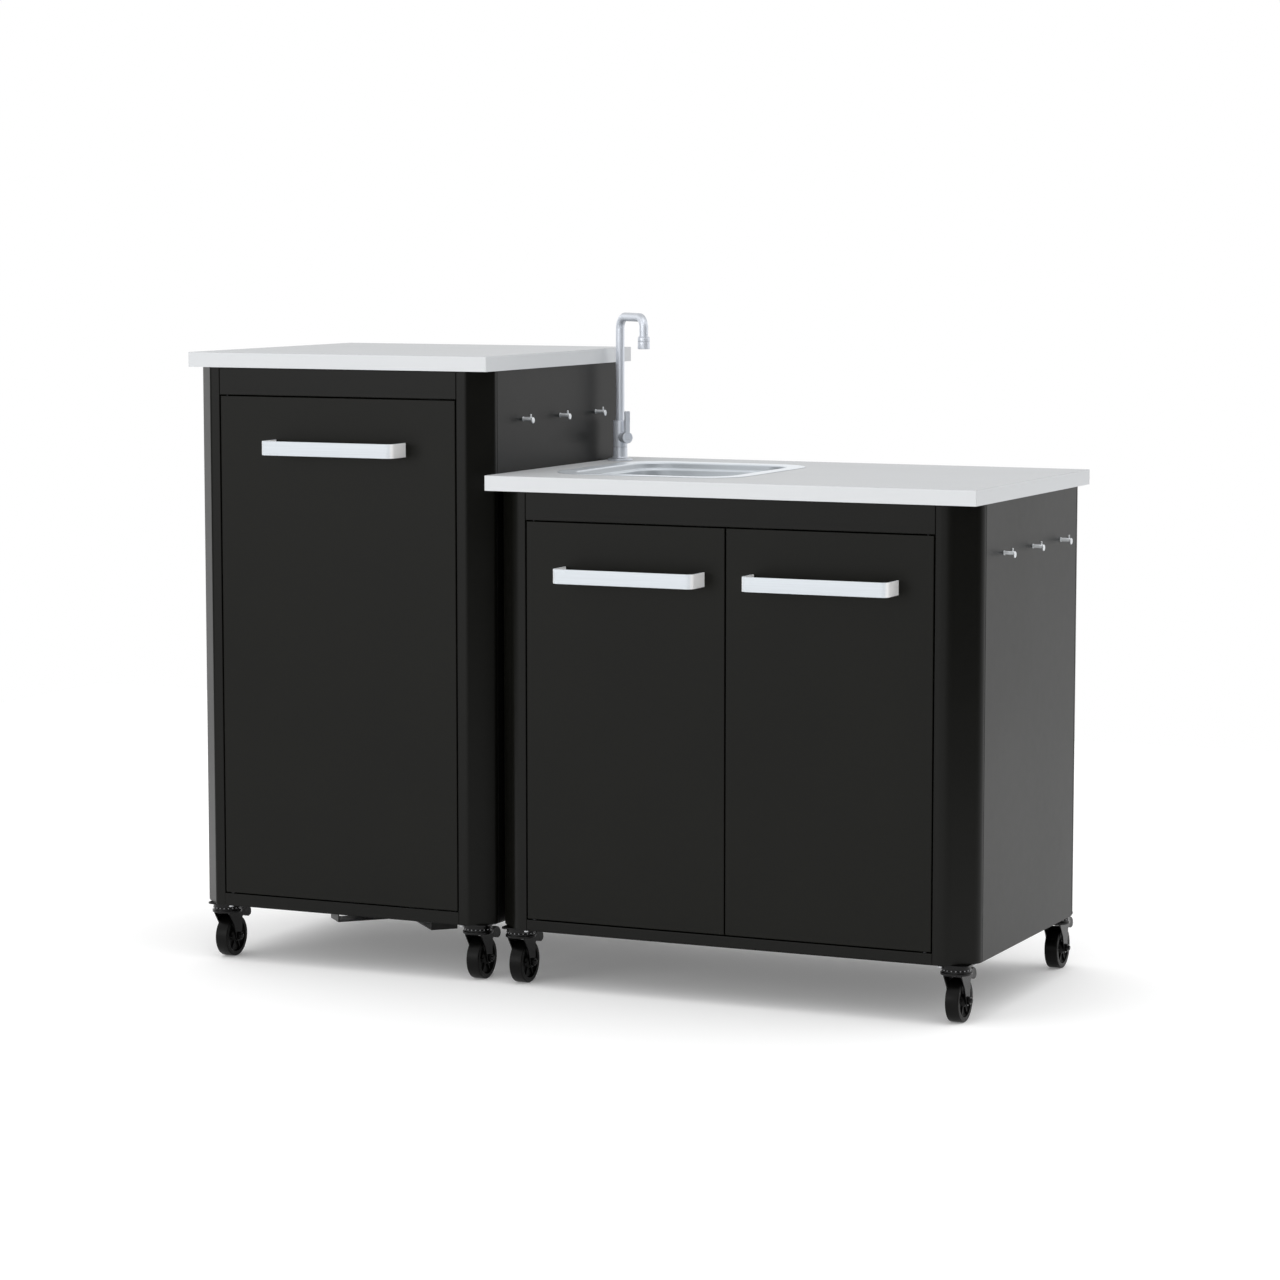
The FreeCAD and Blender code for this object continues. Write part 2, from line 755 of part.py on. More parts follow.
for cabinet in (TALL, LOW):
    names = [name for name, door in DOORS.items() if door[0] is cabinet]
    low, high = (cabinet.front_left, cabinet.fascia_foot), (cabinet.front_right, cabinet.panel_top)
    fascia = build_tray(cabinet.name + "_fascia_sheet", low, high, S.fascia_depth, S.sheet, True)
    low, high = (cabinet.front_left, panel_foot), (cabinet.front_right, cabinet.rail_top)
    rail = build_tray(cabinet.name + "_rail_sheet", low, high, S.rail_depth, S.sheet, cabinet is LOW)
    tools = [hole for name in names for hole in pin_hole(name + "_seat", name, S.pin_radius)]
    node(cabinet.name + "_fascia", cut(cabinet.name + "_fascia_drilled", fascia, tools[0::2]))
    node(cabinet.name + "_bottom_rail", cut(cabinet.name + "_rail_drilled", rail, tools[1::2]))

for name in DOORS:
    node(name, build_door(name))
    node(name + "_handle", build_handle(name))
node("door_pivot_pins", *[pin for name in DOORS for pin in build_pins(name)])


def build_catch(name):
    """A magnet block behind the free edge of a door, hung from the fascia's lower flange."""
    cabinet, left, right, side, shift = DOORS[name]
    middle = right - S.catch_from_edge if side > 0 else left + S.catch_from_edge
    front = S.door_thickness + S.face_gap
    low = (middle - S.catch_width / 2, front, cabinet.fascia_foot - S.catch_height)
    high = (middle + S.catch_width / 2, front + S.catch_depth, cabinet.fascia_foot)
    return box(name + "_catch", low, high)


node("door_magnet_catches", *[build_catch(name) for name in DOORS])


def build_hook(name, x, y, z):
    """A round hook: rose on the panel, stem, end disc and a small peg that stands up from the stem."""
    rose = rod(name + "_rose", S.hook_rose_radius, (x, y, z), S.hook_rose, "X")
    stem = rod(name + "_stem", S.hook_radius, (x, y, z), S.hook_reach, "X")
    tip_start = x + S.hook_reach - S.hook_tip
    tip = rod(name + "_tip", S.hook_tip_radius, (tip_start, y, z - S.hook_tip_drop), S.hook_tip, "X")
    peg_x = x + S.hook_reach - S.hook_peg_setback
    peg = rod(name + "_peg", S.hook_peg_radius, (peg_x, y, z), S.hook_radius + S.hook_peg_rise)
    return fuse(name, [rose, stem, tip, peg])


hooks = [
    build_hook(
        f"{cabinet.name}_{word}_hook", cabinet.right, body_depth / 2 + S.hook_pitch * step, cabinet.hook_level
    )
    for cabinet in (TALL, LOW)
    for word, step in (("front", -1), ("middle", 0), ("rear", 1))
]
node("utensil_hooks", *hooks)


def build_cradle():
    """Two crossed straps that carry a gas bottle in the floor opening of the tall cabinet."""
    reach = S.bottle_opening_radius + S.strap_thickness
    half = S.strap_width / 2
    foot = -S.strap_drop
    lip = -S.strap_thickness
    bars = []
    for name, swap in (("first", False), ("second", True)):
        blocks = [((-reach, -half, foot), (reach, half, foot + S.strap_thickness))]
        for sign, end in ((-1, "near"), (1, "far")):
            inner, outer = S.bottle_opening_radius * sign, reach * sign
            toe = outer + S.strap_foot * sign
            blocks.append(((min_of(inner, outer), -half, foot), (max_of(inner, outer), half, ZERO)))
            blocks.append(((min_of(outer, toe), -half, lip), (max_of(outer, toe), half, ZERO)))
        for number, (low, high) in enumerate(blocks):
            if swap:
                low, high = (low[1], low[0], low[2]), (high[1], high[0], high[2])
            bars.append(box(f"{name}_strap_{number}", low, high))
    cross = fuse("cradle_straps", bars)
    return put(cross, TALL.middle, body_depth / 2, S.base_clearance, FreeCAD.Rotation(AXES["Z"], 45))


def min_of(a, b):
    return a if a.value < b.value else b


def max_of(a, b):
    return b if a.value < b.value else a


node("gas_bottle_cradle", build_cradle())


def build_wells(name, inset, foot_drop, top):
    """A rounded step with a deeper rounded bowl under it, grown down from the item's top."""
    item = new_body(name)
    for word, more, depth in (
        ("bowl", inset + S.sink_step, S.sink_depth + foot_drop),
        ("step", inset, S.sink_step_depth + foot_drop),
    ):
        low = (bowl_left + more, bowl_front + more)
        high = (bowl_right - more, bowl_back - more)
        sketch = outline(item, f"{name}_{word}_edge", "XY_Plane", rectangle(low, high), rise=top)
        pad(item, f"{name}_{word}", sketch, top - LOW.height + depth, True)
        spots = [(x, y) for x in (low[0], high[0]) for y in (low[1], high[1])]
        fillet(item, f"{name}_{word}_corners", S.sink_corner_radius - more, upright(*spots))
    floor = LOW.height - S.sink_depth - foot_drop
    fillet(item, name + "_floor_bend", S.sink_floor_radius - inset, all_at("Z", floor))
    return item


def build_sink():
    """An inset bowl: flat rim on the worktop, a shallow step, then the deep bowl with a waste hole."""
    top = LOW.height + S.sink_rim_rise
    rim = new_body("sink_rim_sheet")
    rim_low = (S.sink_left, S.sink_front)
    rim_high = (S.sink_left + S.sink_width, S.sink_front + S.sink_length)
    rim_sketch = outline(rim, "sink_rim_edge", "XY_Plane", rectangle(rim_low, rim_high), rise=LOW.height)
    pad(rim, "sink_rim", rim_sketch, S.sink_rim_rise)
    rim_spots = [(x, y) for x in (rim_low[0], rim_high[0]) for y in (rim_low[1], rim_high[1])]
    fillet(rim, "sink_rim_corners", S.sink_rim_radius, upright(*rim_spots))
    outside = build_wells("sink_outside", -S.sink_sheet, S.sink_sheet, top)
    inside = build_wells("sink_inside", ZERO, ZERO, top)
    hole_foot = sink_floor - S.sink_sheet - S.overrun
    hole_depth = S.sink_sheet + S.overrun * 2
    hole = rod("waste_hole", S.waste_tube_radius, (waste_x, waste_y, hole_foot), hole_depth)
    return cut("sink_pressing", fuse("sink_blank", [rim, outside]), [inside, hole])


sink_floor = LOW.height - S.sink_depth
node("sink_bowl", build_sink())


def build_waste():
    """The waste outlet: flange with strainer holes in the bowl, tube and clamping nut underneath."""
    under = sink_floor - S.sink_sheet
    tube_foot = sink_floor - S.waste_length
    flange = rod("waste_flange_disc", S.waste_flange_radius, (waste_x, waste_y, sink_floor), S.waste_flange)
    tube = rod("waste_tube_bar", S.waste_tube_radius, (waste_x, waste_y, tube_foot), S.waste_length)
    clamp = nut("waste_clamp_nut", S.waste_nut_radius, (waste_x, waste_y, under - S.waste_nut), S.waste_nut)
    bore = rod(
        "waste_tube_bore", S.waste_tube_radius - S.waste_wall,
        (waste_x, waste_y, tube_foot - S.overrun), S.waste_length + S.overrun,
    )
    count = 8
    slot_foot, slot_length = sink_floor - S.overrun, S.waste_flange + S.overrun * 2
    slots = [rod("strainer_middle", S.strainer_hole_radius, (waste_x, waste_y, slot_foot), slot_length)]
    for index in range(count):
        angle = 2 * math.pi * index / count
        x = waste_x + S.strainer_pitch_radius * math.cos(angle)
        y = waste_y + S.strainer_pitch_radius * math.sin(angle)
        slots.append(rod(f"strainer_{index}", S.strainer_hole_radius, (x, y, slot_foot), slot_length))
    return cut("waste_outlet", fuse("waste_blank", [flange, tube, clamp]), [bore] + slots)


def build_trap():
    """The trap: neck around the waste tube, round cup and an outlet stub that points to the back."""
    wall, clear = S.trap_outlet_wall, S.overrun
    tube_foot = sink_floor - S.waste_length
    neck_foot = tube_foot - S.trap_neck / 2
    cup_foot = neck_foot - S.trap_height
    neck = rod("trap_neck_bar", S.trap_neck_radius, (waste_x, waste_y, neck_foot), S.trap_neck)
    cup = rod("trap_cup_bar", S.trap_radius, (waste_x, waste_y, cup_foot), S.trap_height)
    stub_z = neck_foot - S.trap_outlet_drop
    stub_start = waste_y + S.trap_radius - wall * 2
    stub = rod(
        "trap_stub_bar", S.trap_outlet_radius, (waste_x, stub_start, stub_z), S.trap_outlet_length, "Y"
    )
    socket = rod("trap_socket", S.waste_tube_radius, (waste_x, waste_y, tube_foot), S.trap_neck)
    well = rod(
        "trap_well", S.waste_tube_radius - S.waste_wall,
        (waste_x, waste_y, cup_foot + wall), neck_foot - cup_foot + S.trap_neck,
    )
    stub_bore = rod(
        "trap_stub_bore", S.trap_outlet_radius - wall, (waste_x, waste_y, stub_z),
        S.trap_radius + S.trap_outlet_length + clear, "Y",
    )
    return cut("trap_hollow", fuse("trap_blank", [neck, cup, stub]), [socket, well, stub_bore])


node("sink_waste", build_waste())
node("waste_trap", build_trap())

# Tap: its column is upright; the valve boss, lever and spout point the same way, towards the sink
tap_turn = FreeCAD.Rotation(AXES["Z"], -S.spout_angle.value)
deck = LOW.height


def tap_place(item):
    return put(item, tap_x, tap_y, deck, tap_turn)


def build_tap_body():
    """Column with base flange, side valve boss, threaded shank through the worktop and hose tail."""
    socket_foot = S.tap_body_height - S.spout_socket
    parts = [
        rod("tap_base_flange", S.tap_flange_radius, (ZERO, ZERO, ZERO), S.tap_flange),
        rod("tap_column_bar", S.tap_body_radius, (ZERO, ZERO, ZERO), S.tap_body_height),
        rod("tap_valve_boss", S.tap_boss_radius, (ZERO, ZERO, S.tap_boss_height), S.tap_boss_reach, "X"),
        rod("tap_shank_bar", S.tap_shank_radius, (ZERO, ZERO, -S.tap_shank_length), S.tap_shank_length),
        rod(
            "tap_tail_bar", S.tap_tail_radius, (ZERO, ZERO, -S.tap_shank_length - S.tap_tail_length),
            S.tap_tail_length,
        ),
    ]
    socket = rod(
        "tap_spout_socket", S.spout_radius + S.running_gap,
        (ZERO, ZERO, socket_foot), S.spout_socket + S.overrun,
    )
    return tap_place(cut("tap_column", fuse("tap_column_blank", parts), [socket]))


def build_spout():
    """A round tube with two quarter bends, from the column's socket to the aerator."""
    foot = S.tap_body_height - S.spout_socket
    level = S.spout_top - S.spout_radius
    bend = S.spout_bend_radius
    reach = S.spout_reach
    down = S.aerator_drop - S.spout_radius - bend

    def run(word, radius):
        return [
            rod(f"spout_riser_{word}", radius, (ZERO, ZERO, foot), level - bend - foot),
            elbow(f"spout_bend_up_{word}", bend, radius, (bend, ZERO, level - bend), 90),
            rod(f"spout_arm_{word}", radius, (bend, ZERO, level), reach - bend - bend, "X"),
            elbow(f"spout_bend_down_{word}", bend, radius, (reach - bend, ZERO, level - bend), 0),
            rod(f"spout_drop_{word}", radius, (reach, ZERO, level - bend - down), down),
        ]

    tube = fuse("spout_bar", run("skin", S.spout_radius))
    bore = run("bore", S.spout_radius - S.spout_wall)
    return tap_place(cut("spout_tube", tube, bore))


def build_aerator():
    """The outlet nozzle under the spout's end, open below."""
    foot = S.spout_top - S.aerator_drop - S.aerator_height
    nozzle = rod("aerator_bar", S.aerator_radius, (S.spout_reach, ZERO, foot), S.aerator_height)
    mouth = rod(
        "aerator_mouth", S.spout_radius,
        (S.spout_reach, ZERO, foot - S.overrun), S.aerator_height / 2 + S.overrun,
    )
    return tap_place(cut("aerator_nozzle", nozzle, [mouth]))


def build_lever():
    """The valve lever: a round cap on the boss with a flat blade that points up."""
    start = S.tap_boss_reach + S.running_gap * 2
    half = S.lever_width / 2
    cap = rod("lever_cap_bar", S.lever_cap_radius, (start, ZERO, S.tap_boss_height), S.lever_cap, "X")
    blade_end = start + S.lever_cap
    low = (blade_end - S.lever_thickness, -half, S.tap_boss_height)
    high = (blade_end, half, S.tap_boss_height + S.lever_rise)
    return tap_place(fuse("lever_piece", [cap, box("lever_blade", low, high)]))


def build_fixings():
    """The washer and backnut that clamp the tap under the worktop."""
    washer_foot = LOW.panel_top - S.washer
    ring = rod("fixing_washer_bar", S.washer_radius, (tap_x, tap_y, washer_foot), S.washer)
    back = nut("fixing_nut_bar", S.backnut_radius, (tap_x, tap_y, washer_foot - S.backnut), S.backnut)
    pieces = []
    for name, blank, foot, length in (
        ("fixing_washer", ring, washer_foot, S.washer),
        ("fixing_nut", back, washer_foot - S.backnut, S.backnut),
    ):
        hole = rod(
            name + "_hole", S.tap_shank_radius, (tap_x, tap_y, foot - S.overrun), length + S.overrun * 2
        )
        pieces.append(cut(name, blank, [hole]))
    return pieces


node("tap_body", build_tap_body())
node("tap_spout", build_spout())
node("tap_aerator", build_aerator())
node("tap_lever", build_lever())
node("tap_fixings", *build_fixings())

# Castors
swivel_level = plate_foot - S.race_height - S.race_gap
crown_top = swivel_level - S.lower_race
crown_foot = crown_top - S.crown_thickness


def build_plate(name, x, y):
    """The fixed half of a castor: screwed plate, upper race and kingpin with its riveted head."""
    half = S.plate_side / 2
    inner = half - S.plate_corner
    top = S.base_clearance
    wide = box(name + "_wide", (x - half, y - inner, plate_foot), (x + half, y + inner, top))
    deep = box(name + "_deep", (x - inner, y - half, plate_foot), (x + inner, y + half, top))
    corners = [
        rod(f"{name}_corner_{index}", S.plate_corner, (*spot, plate_foot), S.plate_thickness)
        for index, spot in enumerate(square(x, y, inner))
    ]
    race = rod(name + "_race", S.race_radius, (x, y, plate_foot - S.race_height), S.race_height)
    pin_foot = crown_foot - S.face_gap - S.kingpin_head
    kingpin = rod(name + "_kingpin", S.kingpin_radius, (x, y, pin_foot), plate_foot - pin_foot)
    head = rod(name + "_rivet", S.kingpin_head_radius, (x, y, pin_foot), S.kingpin_head)
    holes = screw_holes(name + "_hole", plate_holes(x, y), plate_foot, S.plate_thickness)
    return cut(name, fuse(name + "_blank", [wide, deep, *corners, race, kingpin, head]), holes)


def build_fork(name, x, y):
    """The swivelling fork with its axle bolt; the bolt is a solid of its own."""
    item = new_body(name + "_sheet")
    outer = S.fork_inner_half + S.fork_sheet
    axle_y, axle_z = S.caster_trail, S.wheel_radius
    cheek = [
        (-S.fork_front, crown_top), (S.fork_back, crown_top), (S.fork_back, crown_top - S.fork_back_depth),
        (S.fork_waist, crown_top - S.fork_waist_drop),
        (axle_y + S.fork_eye_radius, axle_z), (axle_y - S.fork_eye_radius, axle_z),
    ]
    sketch = outline(item, name + "_cheek", "YZ_Plane", cheek, rise=-outer)
    pad(item, name + "_cheeks", sketch, outer * 2)
    eye = outline(
        item, name + "_eye_edge", "YZ_Plane", circles=[(axle_y, axle_z, S.fork_eye_radius)], rise=-outer
    )
    pad(item, name + "_eyes", eye, outer * 2)
    crown = outline(
        item, name + "_crown_edge", "XY_Plane", circles=[(ZERO, ZERO, S.crown_radius)], rise=crown_foot
    )
    pad(item, name + "_crown", crown, S.crown_thickness)
    race = [(ZERO, ZERO, S.race_radius)]
    race_sketch = outline(item, name + "_race_edge", "XY_Plane", circles=race, rise=crown_top)
    pad(item, name + "_race", race_sketch, S.lower_race)
    over = S.overrun
    reach = S.fork_back + over
    slot = rectangle((-reach, -over), (reach, crown_foot))
    sketch = outline(item, name + "_slot_edge", "YZ_Plane", slot, rise=-S.fork_inner_half)
    pocket(item, name + "_slot", sketch, S.fork_inner_half * 2, True)
    rear = rectangle((S.crown_radius, -over), (reach, crown_top + over))
    sketch = outline(item, name + "_rear_edge", "YZ_Plane", rear, rise=-S.fork_inner_half)
    pocket(item, name + "_rear_slot", sketch, S.fork_inner_half * 2, True)
    pin_hole_sketch = outline(
        item, name + "_kingpin_edge", "XY_Plane", circles=[(ZERO, ZERO, S.kingpin_radius + S.running_gap)],
        rise=swivel_level,
    )
    pocket(item, name + "_kingpin_hole", pin_hole_sketch, S.lower_race + S.crown_thickness)
    pedal_hole = (S.pedal_pivot_y, S.pedal_pivot_z, S.pedal_pin_radius + S.running_gap)
    holes = [(axle_y, axle_z, S.axle_radius), pedal_hole]
    sketch = outline(item, name + "_holes_edge", "YZ_Plane", circles=holes, rise=-outer - over)
    pocket(item, name + "_holes", sketch, (outer + over) * 2, True)
    put(item, x, y, ZERO)
    bolt_y = y + axle_y
    length = outer * 2 + S.axle_head + S.axle_end
    shank = rod(name + "_axle_shank", S.axle_radius, (x - outer, bolt_y, axle_z), length, "X")
    head_start = x - outer - S.axle_head
    head = nut(name + "_axle_head", S.axle_head_radius, (head_start, bolt_y, axle_z), S.axle_head, "X")
    end_nut = nut(name + "_axle_nut", S.axle_head_radius, (x + outer, bolt_y, axle_z), S.axle_head, "X")
    return item, fuse(name + "_axle", [shank, head, end_nut])


def build_wheel(name, x, y):
    """A wheel turned around its axle: rounded tread, recessed sides and a longer hub."""
    item = new_body(name + "_moulding")
    half, rim = S.wheel_width / 2, S.wheel_radius - S.wheel_rim
    bore, web = S.axle_radius + S.running_gap, S.wheel_width / 2 - S.wheel_recess
    side = [
        (bore, S.hub_half_width), (S.hub_radius, S.hub_half_width), (S.hub_radius, web), (rim, web),
        (rim, half), (S.wheel_radius, half),
    ]
    points = [(across, height) for height, across in side]
    points += [(-across, height) for height, across in reversed(side)]
    sketch = outline(item, name + "_section", "XZ_Plane", points)
    turn = item.newObject("PartDesign::Revolution", name + "_turn")
    turn.Profile = sketch
    turn.ReferenceAxis = (sketch, ["H_Axis"])
    turn.Angle = 360
    doc.recompute()

    def tread_edge(edge):
        return near(abs(edge.BoundBox.XMin), half) and near(edge.BoundBox.ZMax, S.wheel_radius)

    fillet(item, name + "_tread_edges", S.wheel_edge_radius, tread_edge)
    return put(item, x, y + S.caster_trail, S.wheel_radius)


def build_pedal(name, x, y):
    """The brake pedal between the fork's cheeks, on its own cross pin."""
    item = new_body(name + "_moulding")
    points = [
        (S.pedal_reach * far, S.pedal_pivot_z * high)
        for far, high in zip(PEDAL_REACH_SHARES, PEDAL_HEIGHT_SHARES)
    ]
    sketch = outline(item, name + "_side", "YZ_Plane", points, rise=-S.pedal_half_width)
    pad(item, name + "_body", sketch, S.pedal_half_width * 2)
    outer = S.fork_inner_half + S.fork_sheet
    pin = outline(
        item, name + "_pin_edge", "YZ_Plane",
        circles=[(S.pedal_pivot_y, S.pedal_pivot_z, S.pedal_pin_radius)], rise=-outer,
    )
    pad(item, name + "_pin", pin, outer * 2)
    return put(item, x, y, ZERO)


plates, screws = [], []
for name, (cabinet, x, y) in caster_spots.items():
    plates.append(build_plate(name + "_plate", x, y))
    for number, (screw_x, screw_y) in enumerate(screw_spots(cabinet, x, y)):
        screws.append(build_screw(f"{name}_screw_{number}", screw_x, screw_y))
    node(name + "_caster_fork", *build_fork(name + "_fork", x, y))
    node(name + "_caster_wheel", build_wheel(name + "_wheel", x, y))
    node(name + "_brake_pedal", build_pedal(name + "_pedal", x, y))
node("caster_plates", *plates)
node("caster_screws", *screws)

doc.recompute()

for item in doc.Objects:
    if {"Invalid", "Error"} & set(item.State):
        raise ValueError(f"{item.Label} failed: {item.State}")
os.makedirs("parts", exist_ok=True)
for item in nodes:
    shape = item.Shape
    if shape.isNull() or not shape.isValid() or not shape.Solids:
        raise ValueError(f"{item.Label} has no valid solid")
for item in nodes:
    item.Shape.exportStep(f"parts/{item.Label}.step")
box_of_unit = Part.makeCompound([item.Shape for item in nodes]).BoundBox
print(len(nodes), "nodes", box_of_unit)
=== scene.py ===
"""Looks of an outdoor kitchen unit: two black sheet-metal cabinets on castors, with a sink and a tap."""
import json
import logging
import math
from dataclasses import dataclass
from enum import Enum
from typing import Iterable, Sequence, Union

import bmesh
import bpy
from mathutils import Matrix, Vector


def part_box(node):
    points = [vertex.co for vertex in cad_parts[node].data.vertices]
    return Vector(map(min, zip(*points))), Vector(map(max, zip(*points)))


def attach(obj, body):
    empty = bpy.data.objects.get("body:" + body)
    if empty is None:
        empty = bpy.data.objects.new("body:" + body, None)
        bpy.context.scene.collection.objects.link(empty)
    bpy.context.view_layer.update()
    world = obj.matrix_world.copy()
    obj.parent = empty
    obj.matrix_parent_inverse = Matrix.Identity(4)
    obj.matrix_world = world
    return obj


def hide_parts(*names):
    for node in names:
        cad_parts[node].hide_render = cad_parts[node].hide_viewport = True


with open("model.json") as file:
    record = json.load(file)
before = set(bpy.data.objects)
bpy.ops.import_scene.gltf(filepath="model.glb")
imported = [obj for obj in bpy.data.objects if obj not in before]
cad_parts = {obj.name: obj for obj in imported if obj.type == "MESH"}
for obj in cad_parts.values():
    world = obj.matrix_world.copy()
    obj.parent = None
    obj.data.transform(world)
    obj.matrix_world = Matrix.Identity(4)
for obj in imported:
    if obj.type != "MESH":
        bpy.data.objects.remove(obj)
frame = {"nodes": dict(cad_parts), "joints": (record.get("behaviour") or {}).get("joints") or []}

LOG = logging.getLogger("outdoor_kitchen")

# Meshes are worked out in millimetres, and Piece.done turns them into metres.
MM = 0.001
DECK = 900.0  # Height of the low worktop.
SHORTEST = 1e-4  # A corner stays sharp where rounding it would take off less than this.
SIDE_SHARE = 0.49  # The most of a side that one rounded corner takes.
AXIS_RADIUS = 0.01  # Least radius of a turned profile.
SHARP_ANGLE = 32.0  # Edges that bend more than this many degrees stay sharp.

Spot = tuple[float, float]
Corner = tuple[float, ...]
Point = tuple[float, float, float]
Colour = tuple[float, float, float]
Tint = tuple[float, float, float, float]
Level = Union[float, "Shade"]


class Along(Enum):
    """The direction in which a steel sheet was brushed, as repeats for each metre."""

    X = (6.0, 900.0, 900.0)
    Z = (900.0, 900.0, 6.0)


class Axis(Enum):
    """An axis of the unit, as the rotation of a place whose own Z runs along it."""

    X = ((0, 0, 1), (1, 0, 0), (0, 1, 0))
    Z = ((1, 0, 0), (0, 1, 0), (0, 0, 1))


class Shade:
    """One output of a shader graph, with arithmetic that adds Math nodes."""

    def __init__(self, graph: "Graph", socket: bpy.types.NodeSocket) -> None:
        """Wrap a socket.

        Args:
            graph: The graph that the socket belongs to.
            socket: The output socket.
        """
        self.graph = graph
        self.socket = socket

    def __add__(self, other: Level) -> "Shade":
        """Sum of two levels."""
        return self.graph.math("ADD", self, other)

    def __radd__(self, other: float) -> "Shade":
        """Sum with a plain number on the left."""
        return self.graph.math("ADD", other, self)

    def __sub__(self, other: Level) -> "Shade":
        """Difference of two levels."""
        return self.graph.math("SUBTRACT", self, other)

    def __rsub__(self, other: float) -> "Shade":
        """Difference with a plain number on the left."""
        return self.graph.math("SUBTRACT", other, self)

    def __mul__(self, other: Level) -> "Shade":
        """Product of two levels."""
        return self.graph.math("MULTIPLY", self, other)

    def __rmul__(self, other: float) -> "Shade":
        """Product with a plain number on the left."""
        return self.graph.math("MULTIPLY", other, self)


class Graph:
    """The shader nodes of one material or world."""

    def __init__(self, tree: bpy.types.NodeTree) -> None:
        """Start with an empty tree.

        Args:
            tree: The node tree to fill.
        """
        self.tree = tree
        tree.nodes.clear()

    def node(self, kind: str, settings: dict | None = None,
             sockets: dict | None = None) -> bpy.types.Node:
        """Add one node.

        Args:
            kind: The node's type name.
            settings: Properties that are set first.
            sockets: Values or shades for the input sockets, by name or number.

        Returns:
            The new node.
        """
        made = self.tree.nodes.new(kind)
        for name, setting in (settings or {}).items():
            setattr(made, name, setting)
        for name, level in (sockets or {}).items():
            socket = made.inputs[name]
            if isinstance(level, Shade):
                self.tree.links.new(level.socket, socket)
            else:
                socket.default_value = level
        return made

    def value(self, kind: str, settings: dict | None = None, sockets: dict | None = None,
              output: int | str = 0) -> Shade:
        """Add one node and wrap one of its outputs.

        Args:
            kind: The node's type name.
            settings: Properties that are set first.
            sockets: Values or shades for the input sockets.
            output: The output's name or number.

        Returns:
            The wrapped output.
        """
        return Shade(self, self.node(kind, settings, sockets).outputs[output])

    def math(self, operation: str, *levels: Level) -> Shade:
        """Combine numbers with a Math node."""
        return self.value("ShaderNodeMath", {"operation": operation}, dict(enumerate(levels)))

    def vector(self, operation: str, first: Shade, second: Sequence[float],
               output: str = "Vector") -> Shade:
        """Combine vectors with a Vector Math node."""
        return self.value("ShaderNodeVectorMath", {"operation": operation}, {0: first, 1: second}, output)

    def blend(self, factor: Level, first: Tint | Shade, second: Tint | Shade) -> Shade:
        """Blend two colours with a Mix node.

        Args:
            factor: Share of the second colour.
            first: Colour at 0.
            second: Colour at 1.

        Returns:
            The blended colour.
        """
        settings = {"data_type": "RGBA", "clamp_factor": True}
        return self.value("ShaderNodeMix", settings, {0: factor, 6: first, 7: second}, 2)

    def spread(self, level: Shade, low: float, high: float, start: float = 0.0, end: float = 1.0) -> Shade:
        """Map a level smoothly from one range to another.

        Args:
            level: The level to map.
            low: Where the input range starts.
            high: Where it ends.
            start: Output at the low end.
            end: Output at the high end.

        Returns:
            The mapped level.
        """
        settings = {"interpolation_type": "SMOOTHSTEP", "clamp": True}
        return self.value("ShaderNodeMapRange", settings, {0: level, 1: low, 2: high, 3: start, 4: end})

    def place(self) -> Shade:
        """The point on the object, in metres."""
        return self.value("ShaderNodeTexCoord", output="Object")

    def axis(self, place: Shade, number: int) -> Shade:
        """One of the three parts of a point or a normal."""
        return self.value("ShaderNodeSeparateXYZ", None, {0: place}, number)

    def noise(self, place: Shade, scale: float, detail: float = 2.0, rough: float = 0.5) -> Shade:
        """Soft random variation between 0 and 1.

        Args:
            place: The point to read.
            scale: Repeats for each metre.
            detail: Number of finer layers.
            rough: Strength of the finer layers.

        Returns:
            The noise level.
        """
        sockets = {"Vector": place, "Scale": scale, "Detail": detail, "Roughness": rough}
        return self.value("ShaderNodeTexNoise", {"noise_dimensions": "3D"}, sockets)

    def bump(self, height: Shade, depth: float, edge: float = 0.0) -> Shade:
        """Turn a height level into a shaded relief, with softly rounded edges where wanted.

        Args:
            height: The relief, 0 to 1.
            depth: Its real depth in metres.
            edge: The radius of the piece's edges in metres, or 0 to leave them as they are.

        Returns:
            The bent normal.
        """
        sockets: dict = {"Height": height, "Distance": depth, "Strength": 1.0}
        if edge:
            sockets["Normal"] = self.value("ShaderNodeBevel", {"samples": 6}, {"Radius": edge})
        return self.value("ShaderNodeBump", None, sockets)

    def surface(self, **sockets: object) -> None:
        """End the graph in a Principled surface.

        Args:
            sockets: Values or shades for its inputs; underscores in their names stand for spaces.
        """
        inputs = {name.replace("_", " "): level for name, level in sockets.items()}
        shader = self.value("ShaderNodeBsdfPrincipled", None, inputs)
        self.node("ShaderNodeOutputMaterial", None, {"Surface": shader})


